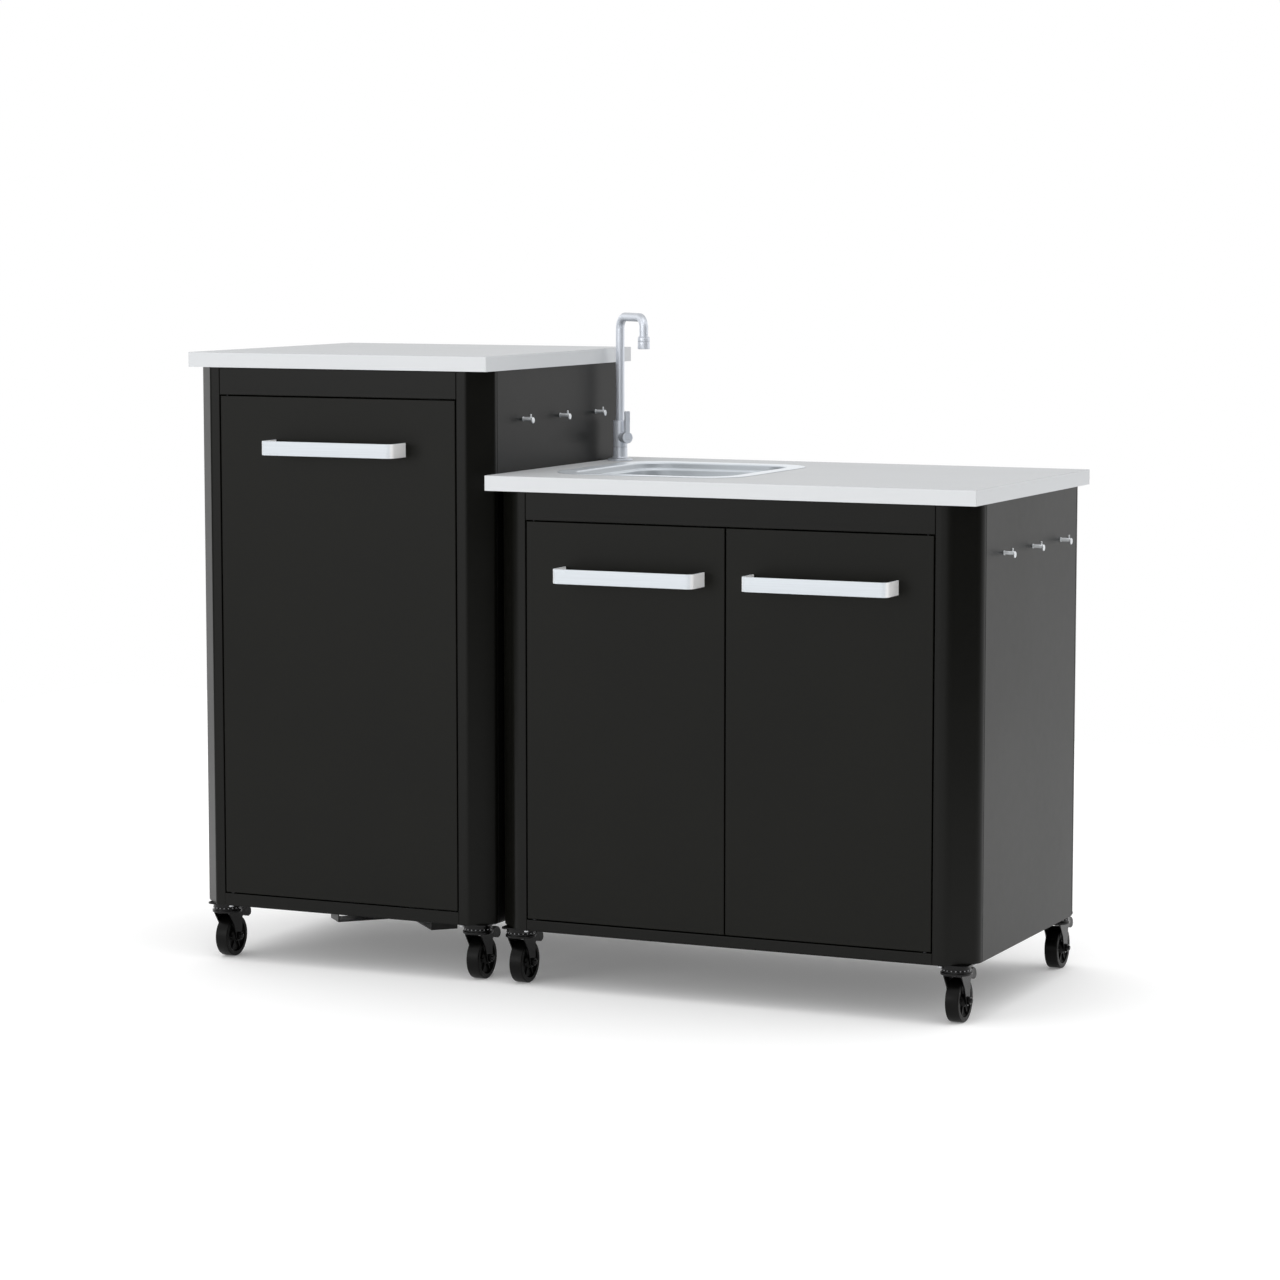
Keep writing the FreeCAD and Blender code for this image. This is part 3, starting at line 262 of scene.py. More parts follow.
@dataclass(frozen=True)
class Finish:
    """A surface finish that is turned into one material when it is first used."""

    name: str
    colour: Colour

    def paint(self, graph: Graph) -> None:
        """Fill the material's graph.

        Args:
            graph: The empty graph to fill.
        """
        raise NotImplementedError

    def material(self) -> bpy.types.Material:
        """The finished material, made once.

        Returns:
            The material.
        """
        found = bpy.data.materials.get(self.name)
        if found is None:
            found = bpy.data.materials.new(self.name)
            found.use_nodes = True
            found.diffuse_color = (*self.colour, 1.0)
            self.paint(Graph(found.node_tree))
        return found

    def tint(self, share: float) -> Tint:
        """The colour made lighter or darker by a share."""
        red, green, blue = (min(1.0, part * share) for part in self.colour)
        return red, green, blue, 1.0

    def painted_upright_shading(self, graph: Graph, tone: Shade, share: float) -> Shade:
        """Paint light on the upright faces, or shade where the share is below 1, against the tone of the
        level ones.

        Args:
            graph: The graph to fill.
            tone: The tone of level faces.
            share: Lightness of the painted light on upright faces; below 1 it paints shade.

        Returns:
            The tone of all faces.
        """
        # Painted light or shade: the more upright a face, the more it takes the share's tint.
        upward = graph.axis(graph.value("ShaderNodeNewGeometry", output="Normal"), 2)
        level = graph.math("ABSOLUTE", upward)
        return graph.blend(graph.spread(level, 0.2, 0.8, 1.0, 0.0), tone, self.tint(share))


@dataclass(frozen=True)
class PowderCoat(Finish):
    """Baked powder paint: satin, with fine orange peel, faint dust and softly rounded edges.

    Here and in the other finishes a scale is the number of repeats for each metre, and relief
    and edge are the depth of the relief and the radius of the edges in metres.
    """

    rough: float = 0.34
    shine: float = 0.2
    edge: float = 0.4 * MM
    relief: float = 0.012 * MM
    coarse_scale: float = 420.0
    fine_scale: float = 1500.0
    cloud_scale: float = 3.2
    dust_scale: float = 46.0

    def paint(self, graph: Graph) -> None:
        """Fill the material's graph.

        Args:
            graph: The empty graph to fill.
        """
        place = graph.place()
        coarse, fine = graph.noise(place, self.coarse_scale), graph.noise(place, self.fine_scale, 1.0)
        cloud = graph.noise(place, self.cloud_scale, 4.0, 0.6)
        dust = graph.noise(place, self.dust_scale, 5.0, 0.65)
        tone = graph.blend(graph.spread(cloud, 0.3, 0.7), self.tint(0.9), self.tint(1.12))
        tone = graph.blend(graph.spread(dust, 0.62, 0.85, 0.0, 0.1), tone, self.tint(2.6))
        graph.surface(
            Base_Color=tone,
            Roughness=self.rough + (cloud - 0.5) * 0.06 + (dust - 0.5) * 0.05,
            Normal=graph.bump(coarse * 0.7 + fine * 0.3, self.relief, self.edge),
            Specular_IOR_Level=self.shine,
        )


@dataclass(frozen=True)
class BrushedSteel(Finish):
    """Stainless sheet with a straight grain, faint handling marks and softly rounded edges.

    The upright shading share paints light on upright faces, and the side light share paints light on faces
    that look sideways.
    """

    along: Along = Along.X
    rough: float = 0.3
    grain: float = 0.06
    edge: float = 0.35 * MM
    metal: float = 1.0
    upright_shading: float = 1.0
    painted_side_light: float = 1.0
    shine: float = 0.5
    relief: float = 0.006 * MM
    mark_scale: float = 7.0

    def paint(self, graph: Graph) -> None:
        """Fill the material's graph.

        Args:
            graph: The empty graph to fill.
        """
        place = graph.place()
        lines = graph.noise(graph.vector("MULTIPLY", place, self.along.value), 1.0, 3.0, 0.6)
        marks = graph.noise(place, self.mark_scale, 4.0, 0.6)
        dark, light = self.tint(1.0 - self.grain), self.tint(1.0 + self.grain)
        tone = graph.blend(graph.spread(lines, 0.2, 0.8), dark, light)
        tone = graph.blend(graph.spread(marks, 0.45, 0.8, 0.0, 0.25), tone, self.tint(0.93))
        # Painted light on upright faces, set by their share.
        if self.upright_shading != 1.0:
            tone = self.painted_upright_shading(graph, tone, self.upright_shading)
        # Painted light on faces that look sideways, such as the handles' ends.
        if self.painted_side_light != 1.0:
            sideward = graph.axis(graph.value("ShaderNodeTexCoord", output="Normal"), 0)
            side_light_mask = graph.math("ABSOLUTE", sideward)
            tone = graph.blend(graph.spread(side_light_mask, 0.5, 0.95), tone, self.tint(self.painted_side_light))
        graph.surface(
            Base_Color=tone,
            Metallic=self.metal,
            Specular_IOR_Level=self.shine,
            Roughness=self.rough + (lines - 0.5) * 0.16 + (marks - 0.5) * 0.08,
            Normal=graph.bump(lines, self.relief, self.edge),
        )


@dataclass(frozen=True)
class PressedSteel(Finish):
    """Deep-drawn stainless: almost smooth, with a fine matt roll grain, and painted shade that darkens its
    upright walls.
    """

    rough: float = 0.3
    metal: float = 0.3
    # Painted shade: upright walls are painted darker than the level rim and floor.
    upright_shading: float = 0.72
    relief: float = 0.004 * MM
    grain_scale: float = 1800.0
    cloud_scale: float = 11.0

    def paint(self, graph: Graph) -> None:
        """Fill the material's graph.

        Args:
            graph: The empty graph to fill.
        """
        place = graph.place()
        grain = graph.noise(place, self.grain_scale, 2.0, 0.7)
        cloud = graph.noise(place, self.cloud_scale, 3.0, 0.6)
        tone = graph.blend(graph.spread(cloud, 0.3, 0.75), self.tint(0.95), self.tint(1.04))
        graph.surface(
            # Painted shade on the upright walls.
            Base_Color=self.painted_upright_shading(graph, tone, self.upright_shading),
            Metallic=self.metal,
            Roughness=self.rough + (cloud - 0.5) * 0.1 + (grain - 0.5) * 0.06,
            Normal=graph.bump(grain, self.relief),
        )


@dataclass(frozen=True)
class PlatedSteel(Finish):
    """Plated or turned small metal parts with turning marks and dull patches."""

    rough: float = 0.36
    edge: float = 0.2 * MM
    relief: float = 0.02 * MM
    patch_scale: float = 160.0

    def paint(self, graph: Graph) -> None:
        """Fill the material's graph.

        Args:
            graph: The empty graph to fill.
        """
        patch = graph.noise(graph.place(), self.patch_scale, 4.0, 0.6)
        graph.surface(
            Base_Color=graph.blend(graph.spread(patch, 0.3, 0.8), self.tint(1.06), self.tint(0.8)),
            Metallic=1.0,
            Roughness=self.rough + (patch - 0.5) * 0.3,
            Normal=graph.bump(patch, self.relief, self.edge),
        )


@dataclass(frozen=True)
class Moulded(Finish):
    """Moulded plastic or rubber with a fine spark-eroded grain and scuffed high spots."""

    rough: float = 0.5
    shine: float = 0.4
    scuff: float = 0.25
    edge: float = 0.3 * MM
    relief: float = 0.03 * MM
    grain_scale: float = 2200.0
    scuff_scale: float = 210.0
    cloud_scale: float = 24.0

    def paint(self, graph: Graph) -> None:
        """Fill the material's graph.

        Args:
            graph: The empty graph to fill.
        """
        place = graph.place()
        grain = graph.noise(place, self.grain_scale, 2.0, 0.6)
        scuffs = graph.noise(place, self.scuff_scale, 5.0, 0.7)
        cloud = graph.noise(place, self.cloud_scale, 3.0)
        tone = graph.blend(graph.spread(cloud, 0.3, 0.7), self.tint(0.88), self.tint(1.15))
        tone = graph.blend(graph.spread(scuffs, 0.58, 0.8, 0.0, self.scuff), tone, self.tint(2.4))
        graph.surface(
            Base_Color=tone,
            Roughness=self.rough + (scuffs - 0.5) * 0.3 + (cloud - 0.5) * 0.1,
            Normal=graph.bump(grain, self.relief, self.edge),
            Specular_IOR_Level=self.shine,
        )


@dataclass(frozen=True)
class StudioFloor(Finish):
    """Plain pale studio floor, lit a little from within so that it stays white away from the lamps."""

    glow: float = 0.16
    rough: float = 0.9
    cloud_scale: float = 0.8

    def paint(self, graph: Graph) -> None:
        """Fill the material's graph.

        Args:
            graph: The empty graph to fill.
        """
        cloud = graph.noise(graph.place(), self.cloud_scale)
        graph.surface(
            Base_Color=graph.blend(cloud, self.tint(0.99), self.tint(1.0)),
            Roughness=self.rough + (cloud - 0.5) * 0.05,
            Specular_IOR_Level=0.0,
            Emission_Color=self.tint(1.1),
            Emission_Strength=self.glow,
        )


PANEL_PAINT = PowderCoat("black_panel_paint", (0.0034, 0.0034, 0.0026), shine=0.165)
DOOR_PAINT = PowderCoat("black_door_paint", (0.0036, 0.0036, 0.0024), rough=0.36, shine=0.16)
CASTOR_PAINT = PowderCoat(
    "castor_black_lacquer", (0.0025, 0.0025, 0.0025), rough=0.22, shine=0.22, edge=0.5 * MM
)
CRADLE_PAINT = PowderCoat("cradle_dark_paint", (0.02, 0.02, 0.019), rough=0.4, shine=0.35)
# The worktops' upright edges get painted light, lighter than their tops.
WORKTOP_STEEL = BrushedSteel(
    "worktop_brushed_steel", (0.46, 0.47, 0.48), rough=0.55, grain=0.04, metal=0.12, upright_shading=1.48,
    shine=0.08,
)
# The handles' sideways-facing ends get painted light.
HANDLE_STEEL = BrushedSteel(
    "handle_brushed_steel", (0.66, 0.7, 0.74), rough=0.42, grain=0.05, edge=0.3 * MM, metal=0.0,
    painted_side_light=1.6, shine=0.3,
)
# The tap's upright faces get painted light, so that its level faces read as shaded.
TAP_STEEL = BrushedSteel(
    "tap_brushed_steel", (0.4, 0.42, 0.455), Along.Z, rough=0.32, grain=0.05, edge=0.3 * MM, metal=0.4,
    upright_shading=1.9,
)
HOOK_STEEL = BrushedSteel("hook_steel", (0.8, 0.84, 0.88), grain=0.04, edge=0.25 * MM, metal=0.5)
# The sink keeps the pressed steel's painted shade on its upright walls.
SINK_STEEL = PressedSteel("sink_pressed_steel", (0.6, 0.64, 0.68))
PIN_STEEL = PlatedSteel("plated_steel", (0.55, 0.56, 0.58))
DARK_STEEL = PlatedSteel("blackened_steel", (0.03, 0.03, 0.032), rough=0.45)
BALL_STEEL = PlatedSteel("oiled_ball_steel", (0.3, 0.3, 0.31), rough=0.3)
BRASS = PlatedSteel("turned_brass", (0.62, 0.44, 0.2), rough=0.3)
WHEEL_RUBBER = Moulded(
    "wheel_black_rubber", (0.002, 0.002, 0.0018), rough=0.34, shine=0.13, scuff=0.08
)
PEDAL_PLASTIC = Moulded(
    "pedal_black_plastic", (0.003, 0.003, 0.003), rough=0.34, shine=0.2, scuff=0.08
)
CATCH_PLASTIC = Moulded("catch_plastic", (0.03, 0.03, 0.03))
WASTE_PLASTIC = Moulded("waste_white_plastic", (0.6, 0.6, 0.58), rough=0.35, shine=0.5, scuff=0.03)
FLOOR = StudioFloor("studio_floor", (0.9, 0.9, 0.9))


def soft(corners: Sequence[Corner], radius: float, steps: int = 4, closed: bool = True) -> list[Spot]:
    """Round the corners of a flat outline.

    Args:
        corners: The outline's corners; a third number is that corner's own radius.
        radius: The radius of the other corners.
        steps: Points for each corner, less one.
        closed: Whether the last corner joins the first.

    Returns:
        The rounded outline.
    """
    outline: list[Spot] = []
    count = len(corners)
    for index, corner in enumerate(corners):
        here = Vector(corner[:2])
        if not closed and index in (0, count - 1):
            outline.append((here.x, here.y))
            continue
        before = Vector(corners[index - 1][:2]) - here
        after = Vector(corners[(index + 1) % count][:2]) - here
        wanted = corner[2] if len(corner) > 2 else radius
        half = before.angle(after, math.pi) / 2
        weight = math.sin(half)
        room = min(before.length, after.length) * SIDE_SHARE
        trim = min(wanted / max(math.tan(half), 1e-6), room)
        if trim < SHORTEST:
            outline.append((here.x, here.y))
            continue
        first, last = here + before.normalized() * trim, here + after.normalized() * trim
        for step in range(steps + 1):
            share = step / steps
            pull = 2 * weight * share * (1 - share)
            top = (1 - share) ** 2 * first + pull * here + share ** 2 * last
            spot = top / ((1 - share) ** 2 + pull + share ** 2)
            outline.append((spot.x, spot.y))
    return outline


def oblong(half: Spot, radius: float = 0.0, steps: int = 3, shift: float = 0.0) -> list[Spot]:
    """A rectangle round the origin with rounded corners.

    Args:
        half: Half its width and half its length.
        radius: Its corner radius.
        steps: Points for each corner, less one.
        shift: How far it lies from the origin along its length.

    Returns:
        The outline, anticlockwise.
    """
    wide, long = half
    corners = [(-wide, shift - long), (wide, shift - long), (wide, shift + long), (-wide, shift + long)]
    return soft(corners, radius, steps)


def full_turn(steps: int) -> list[float]:
    """The angles of equal steps once round, in radians."""
    return [math.tau * step / steps for step in range(steps)]


def arc(turns: Iterable[float], radius: float, centre: Spot = (0.0, 0.0)) -> list[Spot]:
    """The points of a circle at some angles."""
    return [(centre[0] + radius * math.cos(turn), centre[1] + radius * math.sin(turn)) for turn in turns]


def ring(centre: Spot, half: Spot, radius: float, corner_steps: int = 10, side_steps: int = 6) -> list[Spot]:
    """A rounded rectangle with the same number of points whatever its size.

    Args:
        centre: Its middle.
        half: Half its width and half its length.
        radius: Its corner radius.
        corner_steps: Steps round each corner.
        side_steps: Steps along each side.

    Returns:
        The ring's points.
    """
    radius = min(radius, half[0], half[1])
    bends = []
    for quarter, (sign_x, sign_y) in enumerate(((1, 1), (-1, 1), (-1, -1), (1, -1))):
        middle = (centre[0] + sign_x * (half[0] - radius), centre[1] + sign_y * (half[1] - radius))
        turns = [math.pi / 2 * (quarter + step / corner_steps) for step in range(corner_steps + 1)]
        bends.append(arc(turns, radius, middle))
    points: list[Spot] = []
    for quarter, bend in enumerate(bends):
        points += bend
        start, end = Vector(bend[-1]), Vector(bends[(quarter + 1) % 4][0])
        points += [tuple(start.lerp(end, step / side_steps)) for step in range(1, side_steps)]
    return points


def turned(axis: Axis, spot: Sequence[float] = (0, 0, 0)) -> Matrix:
    """A place at a spot, whose own Z runs along an axis of the unit."""
    return Matrix.Translation(Vector(spot)) @ Matrix(axis.value).to_4x4()


def in_millimetres(corners: Iterable[Vector]) -> list[Vector]:
    """A box's low and high corners, turned from metres into millimetres."""
    return [Vector(corner) / MM for corner in corners]


def joint_spot(name: str) -> Vector:
    """Where a joint's axis is, in millimetres."""
    found = next(joint for joint in frame["joints"] if joint["name"] == name)
    return Vector(found["pos_m"]) / MM


class Piece:
    """A mesh that grows form by form, then becomes an object of the unit."""

    def __init__(self, name: str) -> None:
        """Start an empty mesh.

        Args:
            name: The object's name.
        """
        self.name = name
        self.mesh = bmesh.new()

    def loft(self, loops: Sequence[Sequence[Vector]], first_cap: bool = False,
             last_cap: bool = False) -> None:
        """Join equal closed loops of points into one skin.

        Args:
            loops: The loops, in order.
            first_cap: Whether the first loop is closed with a face.
            last_cap: Whether the last one is.
        """
        rows = [[self.mesh.verts.new(point) for point in loop] for loop in loops]
        count = len(rows[0])
        for lower, upper in zip(rows, rows[1:]):
            for index in range(count):
                after = (index + 1) % count
                self.mesh.faces.new((lower[index], lower[after], upper[after], upper[index]))
        if first_cap:
            self.mesh.faces.new(list(reversed(rows[0])))
        if last_cap:
            self.mesh.faces.new(rows[-1])

    def lathe(self, profile: Sequence[Spot], place: Matrix, steps: int = 40) -> None:
        """Turn a profile round the place's own Z.

        Args:
            profile: Radius and height of each point.
            place: Where the axis is.
            steps: Steps round the axis.
        """
        loops = []
        for radius, height in profile:
            circle = arc(full_turn(steps), max(radius, AXIS_RADIUS))
            loops.append([place @ Vector((x, y, height)) for x, y in circle])
        self.loft(loops, profile[0][0] <= AXIS_RADIUS, profile[-1][0] <= AXIS_RADIUS)

    def slab(self, outline: Sequence[Spot], low: float, high: float, place: Matrix,
             edge: float = 0.4) -> None:
        """A flat piece with chamfered rims.

        Args:
            outline: Its outline in the place's own XY plane.
            low: Where it starts along the place's own Z.
            high: Where it ends.
            place: The place.
            edge: The chamfer's size.
        """
        count = len(outline)
        inner = []
        for index, spot in enumerate(outline):
            here = Vector(spot)
            before = (here - Vector(outline[index - 1])).normalized()
            after = (Vector(outline[(index + 1) % count]) - here).normalized()
            side = Vector((-(before + after).y, (before + after).x)).normalized()
            inner.append(here + side * edge * self.sense(outline))
        loops = []
        for rim, height in ((inner, low), (outline, low + edge), (outline, high - edge), (inner, high)):
            loops.append([place @ Vector((spot[0], spot[1], height)) for spot in rim])
        self.loft(loops, True, True)

    @staticmethod
    def sense(outline: Sequence[Spot]) -> float:
        """The outline's turning sense, 1 for anticlockwise."""
        pairs = ((outline[index - 1], spot) for index, spot in enumerate(outline))
        return 1.0 if sum(last[0] * spot[1] - spot[0] * last[1] for last, spot in pairs) > 0 else -1.0

    def sweep(self, path: Sequence[Vector], section: Sequence[Spot], up: Vector) -> None:
        """Draw a section along a flat path.

        Args:
            path: The path's points.
            section: The section; its first part lies across the path, its second along up.
            up: The normal of the path's plane.
        """
        loops = []
        for index, point in enumerate(path):
            before = (point - path[index - 1]).normalized() if index else None
            after = (path[index + 1] - point).normalized() if index + 1 < len(path) else None
            ahead = ((before or after) + (after or before)).normalized()
            side = ahead.cross(up).normalized()
            stretch = 1.0 / max(0.3, before.dot(ahead)) if before and after else 1.0
            loops.append([point + side * across * stretch + up * along for across, along in section])
        self.loft(loops, True, True)

    def done(self, finish: Finish, body: str, replaces: Iterable[str] = (),
             sharp: float = SHARP_ANGLE) -> bpy.types.Object:
        """Turn the mesh into an object, in metres, that rides on a body.

        Args:
            finish: Its finish.
            body: The body that it rides on.
            replaces: The nodes that it stands for.
            sharp: Edges that bend more than this many degrees stay sharp.

        Returns:
            The object.
        """
        for vert in self.mesh.verts:
            vert.co = [part * MM for part in vert.co]
        bmesh.ops.recalc_face_normals(self.mesh, faces=self.mesh.faces)
        data = bpy.data.meshes.new(self.name)
        self.mesh.to_mesh(data)
        self.mesh.free()
        item = bpy.data.objects.new(self.name, data)
        bpy.context.scene.collection.objects.link(item)
        finish_mesh(data, finish, sharp)
        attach(item, body)
        if replaces:
            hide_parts(*replaces)
        LOG.info("%s: %d faces on %s", self.name, len(data.polygons), body)
        return item


def finish_mesh(data: bpy.types.Mesh, finish: Finish, sharp: float) -> None:
    """Give a mesh its material and smooth shading between sharp edges.

    Args:
        data: The mesh.
        finish: Its finish.
        sharp: Edges that bend more than this many degrees stay sharp.
    """
    data.materials.clear()
    data.materials.append(finish.material())
    for face in data.polygons:
        face.use_smooth = True
    data.set_sharp_from_angle(angle=math.radians(sharp))


def dress(node: str, finish: Finish) -> None:
    """Give a carried-over node its finish and clean shading."""
    finish_mesh(frame["nodes"][node].data, finish, SHARP_ANGLE)
    LOG.info("%s dressed in %s", node, finish.name)


@dataclass
class Cabinet:
    """One cabinet's fixed sheet-metal pieces."""

    name: str
    panels: tuple[str, ...] = (
        "corner_posts", "left_side_panel", "right_side_panel", "rear_panel", "floor_panel",
        "fascia", "bottom_rail",
    )

    def make(self) -> None:
        """Dress the worktop and the carcass."""
        dress(f"{self.name}_worktop", WORKTOP_STEEL)
        for panel in self.panels:
            dress(f"{self.name}_{panel}", PANEL_PAINT)


@dataclass
class Door:
    """A door pan with its bent bar handle, in millimetres."""

    name: str
    strip: float = 3.0
    bend: float = 12.0
    bend_steps: int = 10
    edge: float = 0.5

    def make(self) -> None:
        """Dress the pan and build the handle."""
        dress(self.name, DOOR_PAINT)
        low, high = in_millimetres(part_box(f"{self.name}_handle"))
        half = self.strip / 2
        middle = (low.z + high.z) / 2
        route = [
            (low.x + half, high.y), (low.x + half, low.y + half),
            (high.x - half, low.y + half), (high.x - half, high.y),
        ]
        route = soft(route, self.bend - half, self.bend_steps, closed=False)
        bar = Piece(f"{self.name}_handle_bar")
        section = oblong((half, (high.z - low.z) / 2), self.edge)
        bar.sweep([Vector((x, y, middle)) for x, y in route], section, Vector((0, 0, 1)))
        bar.done(HANDLE_STEEL, self.name, [f"{self.name}_handle"])


@dataclass
class Sink:
    """The pressed bowl and its waste, in millimetres."""

    rim: float = 32.0
    rim_radius: float = 78.0
    mouth_radius: float = 56.0
    step: float = 8.0
    step_depth: float = 11.0
    depth: float = 150.0
    draft: float = 1.2
    floor_bend: float = 30.0
    least_radius: float = 12.0
    waste: float = 26.5
    sheet: float = 0.8
    sharp: float = 60.0

    def make(self) -> None:
        """Build the bowl and dress the waste and the trap."""
        low, high = in_millimetres(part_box("sink_bowl"))
        centre = ((low.x + high.x) / 2, (low.y + high.y) / 2)
        wide, long = (high.x - low.x) / 2, (high.y - low.y) / 2
        loops = [
            [Vector((x, y, DECK + height)) for x, y in ring(centre, (wide - inset, long - inset), radius)]
            for inset, height, radius in self.stages(high.z - DECK)
        ]
        loops += self.floor(loops[-1], Vector(centre))
        bowl = Piece("sink_pressing")
        bowl.loft(loops)
        item = bowl.done(SINK_STEEL, "cabinets", ["sink_bowl"], self.sharp)
        skin = item.modifiers.new("sheet", "SOLIDIFY")
        skin.thickness = self.sheet * MM
        skin.offset = -1.0
        dress("sink_waste", SINK_STEEL)
        dress("waste_trap", WASTE_PLASTIC)

    def stages(self, top: float) -> list[tuple[float, float, float]]:
        """The rings from the rim down to the start of the floor.

        Args:
            top: How far the rim stands above the worktop.

        Returns:
            Each ring's inset from the rim's outer edge, its height above the worktop and its corner radius.
        """
        rim, mouth, shelf = self.rim, self.mouth_radius, -self.step_depth
        wall, well = self.rim + self.step, self.mouth_radius - self.step
        stages = [
            (0.0, 0.1, self.rim_radius), (0.15, 0.7, self.rim_radius), (1.1, top, self.rim_radius),
            (4.0, top, self.rim_radius - 4.0), (rim - 5.0, top - 0.25, mouth + 5.0),
            (rim - 2.4, top - 0.6, mouth + 2.4), (rim - 0.7, top - 2.0, mouth + 0.7),
            (rim, -2.6, mouth), (rim + 0.3, shelf + 2.2, mouth), (rim + 1.2, shelf + 0.7, mouth - 1.0),
            (rim + 3.0, shelf, mouth - 3.0), (wall - 2.6, shelf - 0.2, well + 2.6),
            (wall - 0.8, shelf - 1.1, well + 0.8), (wall, shelf - 3.0, well),
            (wall + self.draft / 2, shelf - 30.0, well),
            (wall + self.draft, self.floor_bend - self.depth, well),
        ]
        for turn in map(math.radians, (18, 36, 54, 72, 90)):
            inset = self.floor_bend * (1 - math.cos(turn))
            height = self.floor_bend * (1 - math.sin(turn)) - self.depth
            stages.append((wall + self.draft + inset, height, max(well - inset, self.least_radius)))
        return stages

    def floor(self, edge: Sequence[Vector], centre: Vector) -> list[list[Vector]]:
        """The rings of the floor, which close in on the round waste.

        Args:
            edge: The ring that the floor starts from.
            centre: The middle of the bowl.

        Returns:
            The rings.
        """
        rings = []
        for share, rise in ((0.35, 0.7), (0.7, 0.3), (0.94, 0.1), (1.0, 0.0)):
            loop = []
            for point in edge:
                out = point.xy - centre
                spot = centre + out.lerp(out.normalized() * self.waste, share)
                loop.append(Vector((spot.x, spot.y, point.z + rise)))
            rings.append(loop)
        return rings


@dataclass
class Tap:
    """The tap: column with a side valve, lever, bent spout and aerator, in millimetres."""

    flange: float = 23.0
    column: float = 13.5
    column_height: float = 74.0
    boss: float = 9.6
    boss_end: float = 20.0
    valve_height: float = 43.0
    groove: float = 0.5
    shank: float = 9.9
    shank_length: float = 74.0
    thread_pitch: float = 2.0
    threads: int = 36
    tail: float = 6.4
    tail_end: float = 100.0
    barb_pitch: float = 6.0
    barbs: int = 4
    tube: float = 8.0
    tube_steps: int = 36
    socket_depth: float = 13.0
    bend: float = 23.0
    bend_steps: int = 14
    top: float = 273.0
    reach: float = 98.0
    nozzle: float = 11.0
    nozzle_low: float = 208.0
    nozzle_high: float = 229.0
    sieve_rings: int = 4
    lever_cap: float = 10.5
    lever_end: float = 32.1
    lever_top: float = 92.0
    blade: float = 5.0

    def make(self) -> None:
        """Build the tap's pieces and dress its fixings."""
        spot = joint_spot("tap_spout_swivel")
        low, high = in_millimetres(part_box("tap_aerator"))
        ahead = ((low + high) / 2 - spot) * Vector((1, 1, 0))
        ahead.normalize()
        side = Vector((0, 0, 1)).cross(ahead)
        self.here = Matrix((
            (ahead.x, side.x, 0, spot.x), (ahead.y, side.y, 0, spot.y), (0, 0, 1, DECK), (0, 0, 0, 1)
        ))
        self.make_column()
        self.make_spout()
        self.make_nozzle()
        self.make_lever()
        dress("tap_fixings", BRASS)

    def valve(self) -> Matrix:
        """A place on the valve's own axis, whose Z points ahead."""
        return self.here @ Matrix.Translation(Vector((0, 0, self.valve_height))) @ turned(Axis.X)

    def outlet(self) -> Matrix:
        """A place on the outlet's own axis, at the worktop's height."""
        return self.here @ Matrix.Translation(Vector((self.reach, 0, 0)))

    def make_column(self) -> None:
        """Build the column with its flange, valve boss and threaded shank."""
        waist, height = self.column - self.groove, self.column_height
        profile = [
            (10.0, 0.1), (self.flange, 0.1, 0.2), (self.flange, 2.6, 1.2), (self.flange - 3.0, 4.0, 2.5),
            (self.column + 1.2, 4.6, 1.5), (self.column, 7.0, 2.0), (self.column, 24.0, 0.1),
            (waist, 24.4, 0.1), (waist, 25.0, 0.1), (self.column, 25.4, 0.1), (self.column, height, 1.4),
            (self.tube + 0.4, height, 0.3), (self.tube + 0.1, height - 12.0),
        ]
        column = Piece("tap_column")
        column.lathe(soft(profile, 0.5, closed=False), self.here, 48)
        end, neck = self.boss_end, self.boss - 0.7
        boss = [
            (self.boss, 6.0), (self.boss, end - 2.2, 0.2), (neck, end - 1.8, 0.2), (neck, end - 0.9, 0.2),
            (self.boss, end - 0.6, 0.2), (self.boss, end, 0.3), (0.0, end),
        ]
        column.lathe(soft(boss, 0.3, 3, closed=False), self.valve())
        column.lathe(self.shank_profile(), self.here, 32)
        column.done(TAP_STEEL, "cabinets", ["tap_body"])

    def shank_profile(self) -> list[Spot]:
        """The threaded shank below the worktop, with its barbed hose tail.

        Returns:
            The profile, from the top down.
        """
        profile = [(10.0, 0.1)]
        for thread in range(self.threads):
            crest = -self.thread_pitch * thread
            profile += [(self.shank, crest - 0.8), (self.shank - 0.7, crest - 1.6)]
        profile += [(self.shank, 0.4 - self.shank_length), (self.tail, -self.shank_length)]
        for barb in range(self.barbs):
            start = -self.shank_length - 2.0 - self.barb_pitch * barb
            profile += [(self.tail - 0.8, start), (self.tail, start - 4.0)]
        return profile + [(5.4, -self.tail_end), (4.2, -self.tail_end), (4.2, 20.0 - self.tail_end)]

    def make_spout(self) -> None:
        """Build the bent spout tube with the collar over its outlet."""
        level, collar = self.top - self.tube, self.nozzle - 0.6
        low, end = self.column_height - self.socket_depth, self.nozzle_high
        corners = [(0, low), (0, level), (self.reach, level), (self.reach, end - 1.0)]
        route = soft(corners, self.bend, self.bend_steps, closed=False)
        circle = arc(full_turn(self.tube_steps), self.tube)
        spout = Piece("tap_spout_tube")
        across = self.here.to_3x3() @ Vector((0, 1, 0))
        spout.sweep([self.here @ Vector((x, 0, z)) for x, z in route], circle, across)
        profile = [
            (self.tube, end - 0.5), (collar, end - 0.5, 0.3), (collar, end + 1.2, 0.6),
            (self.tube, end + 2.0),
        ]
        spout.lathe(soft(profile, 0.3, 3, closed=False), self.outlet(), 36)
        spout.done(TAP_STEEL, "tap_spout", ["tap_spout"])

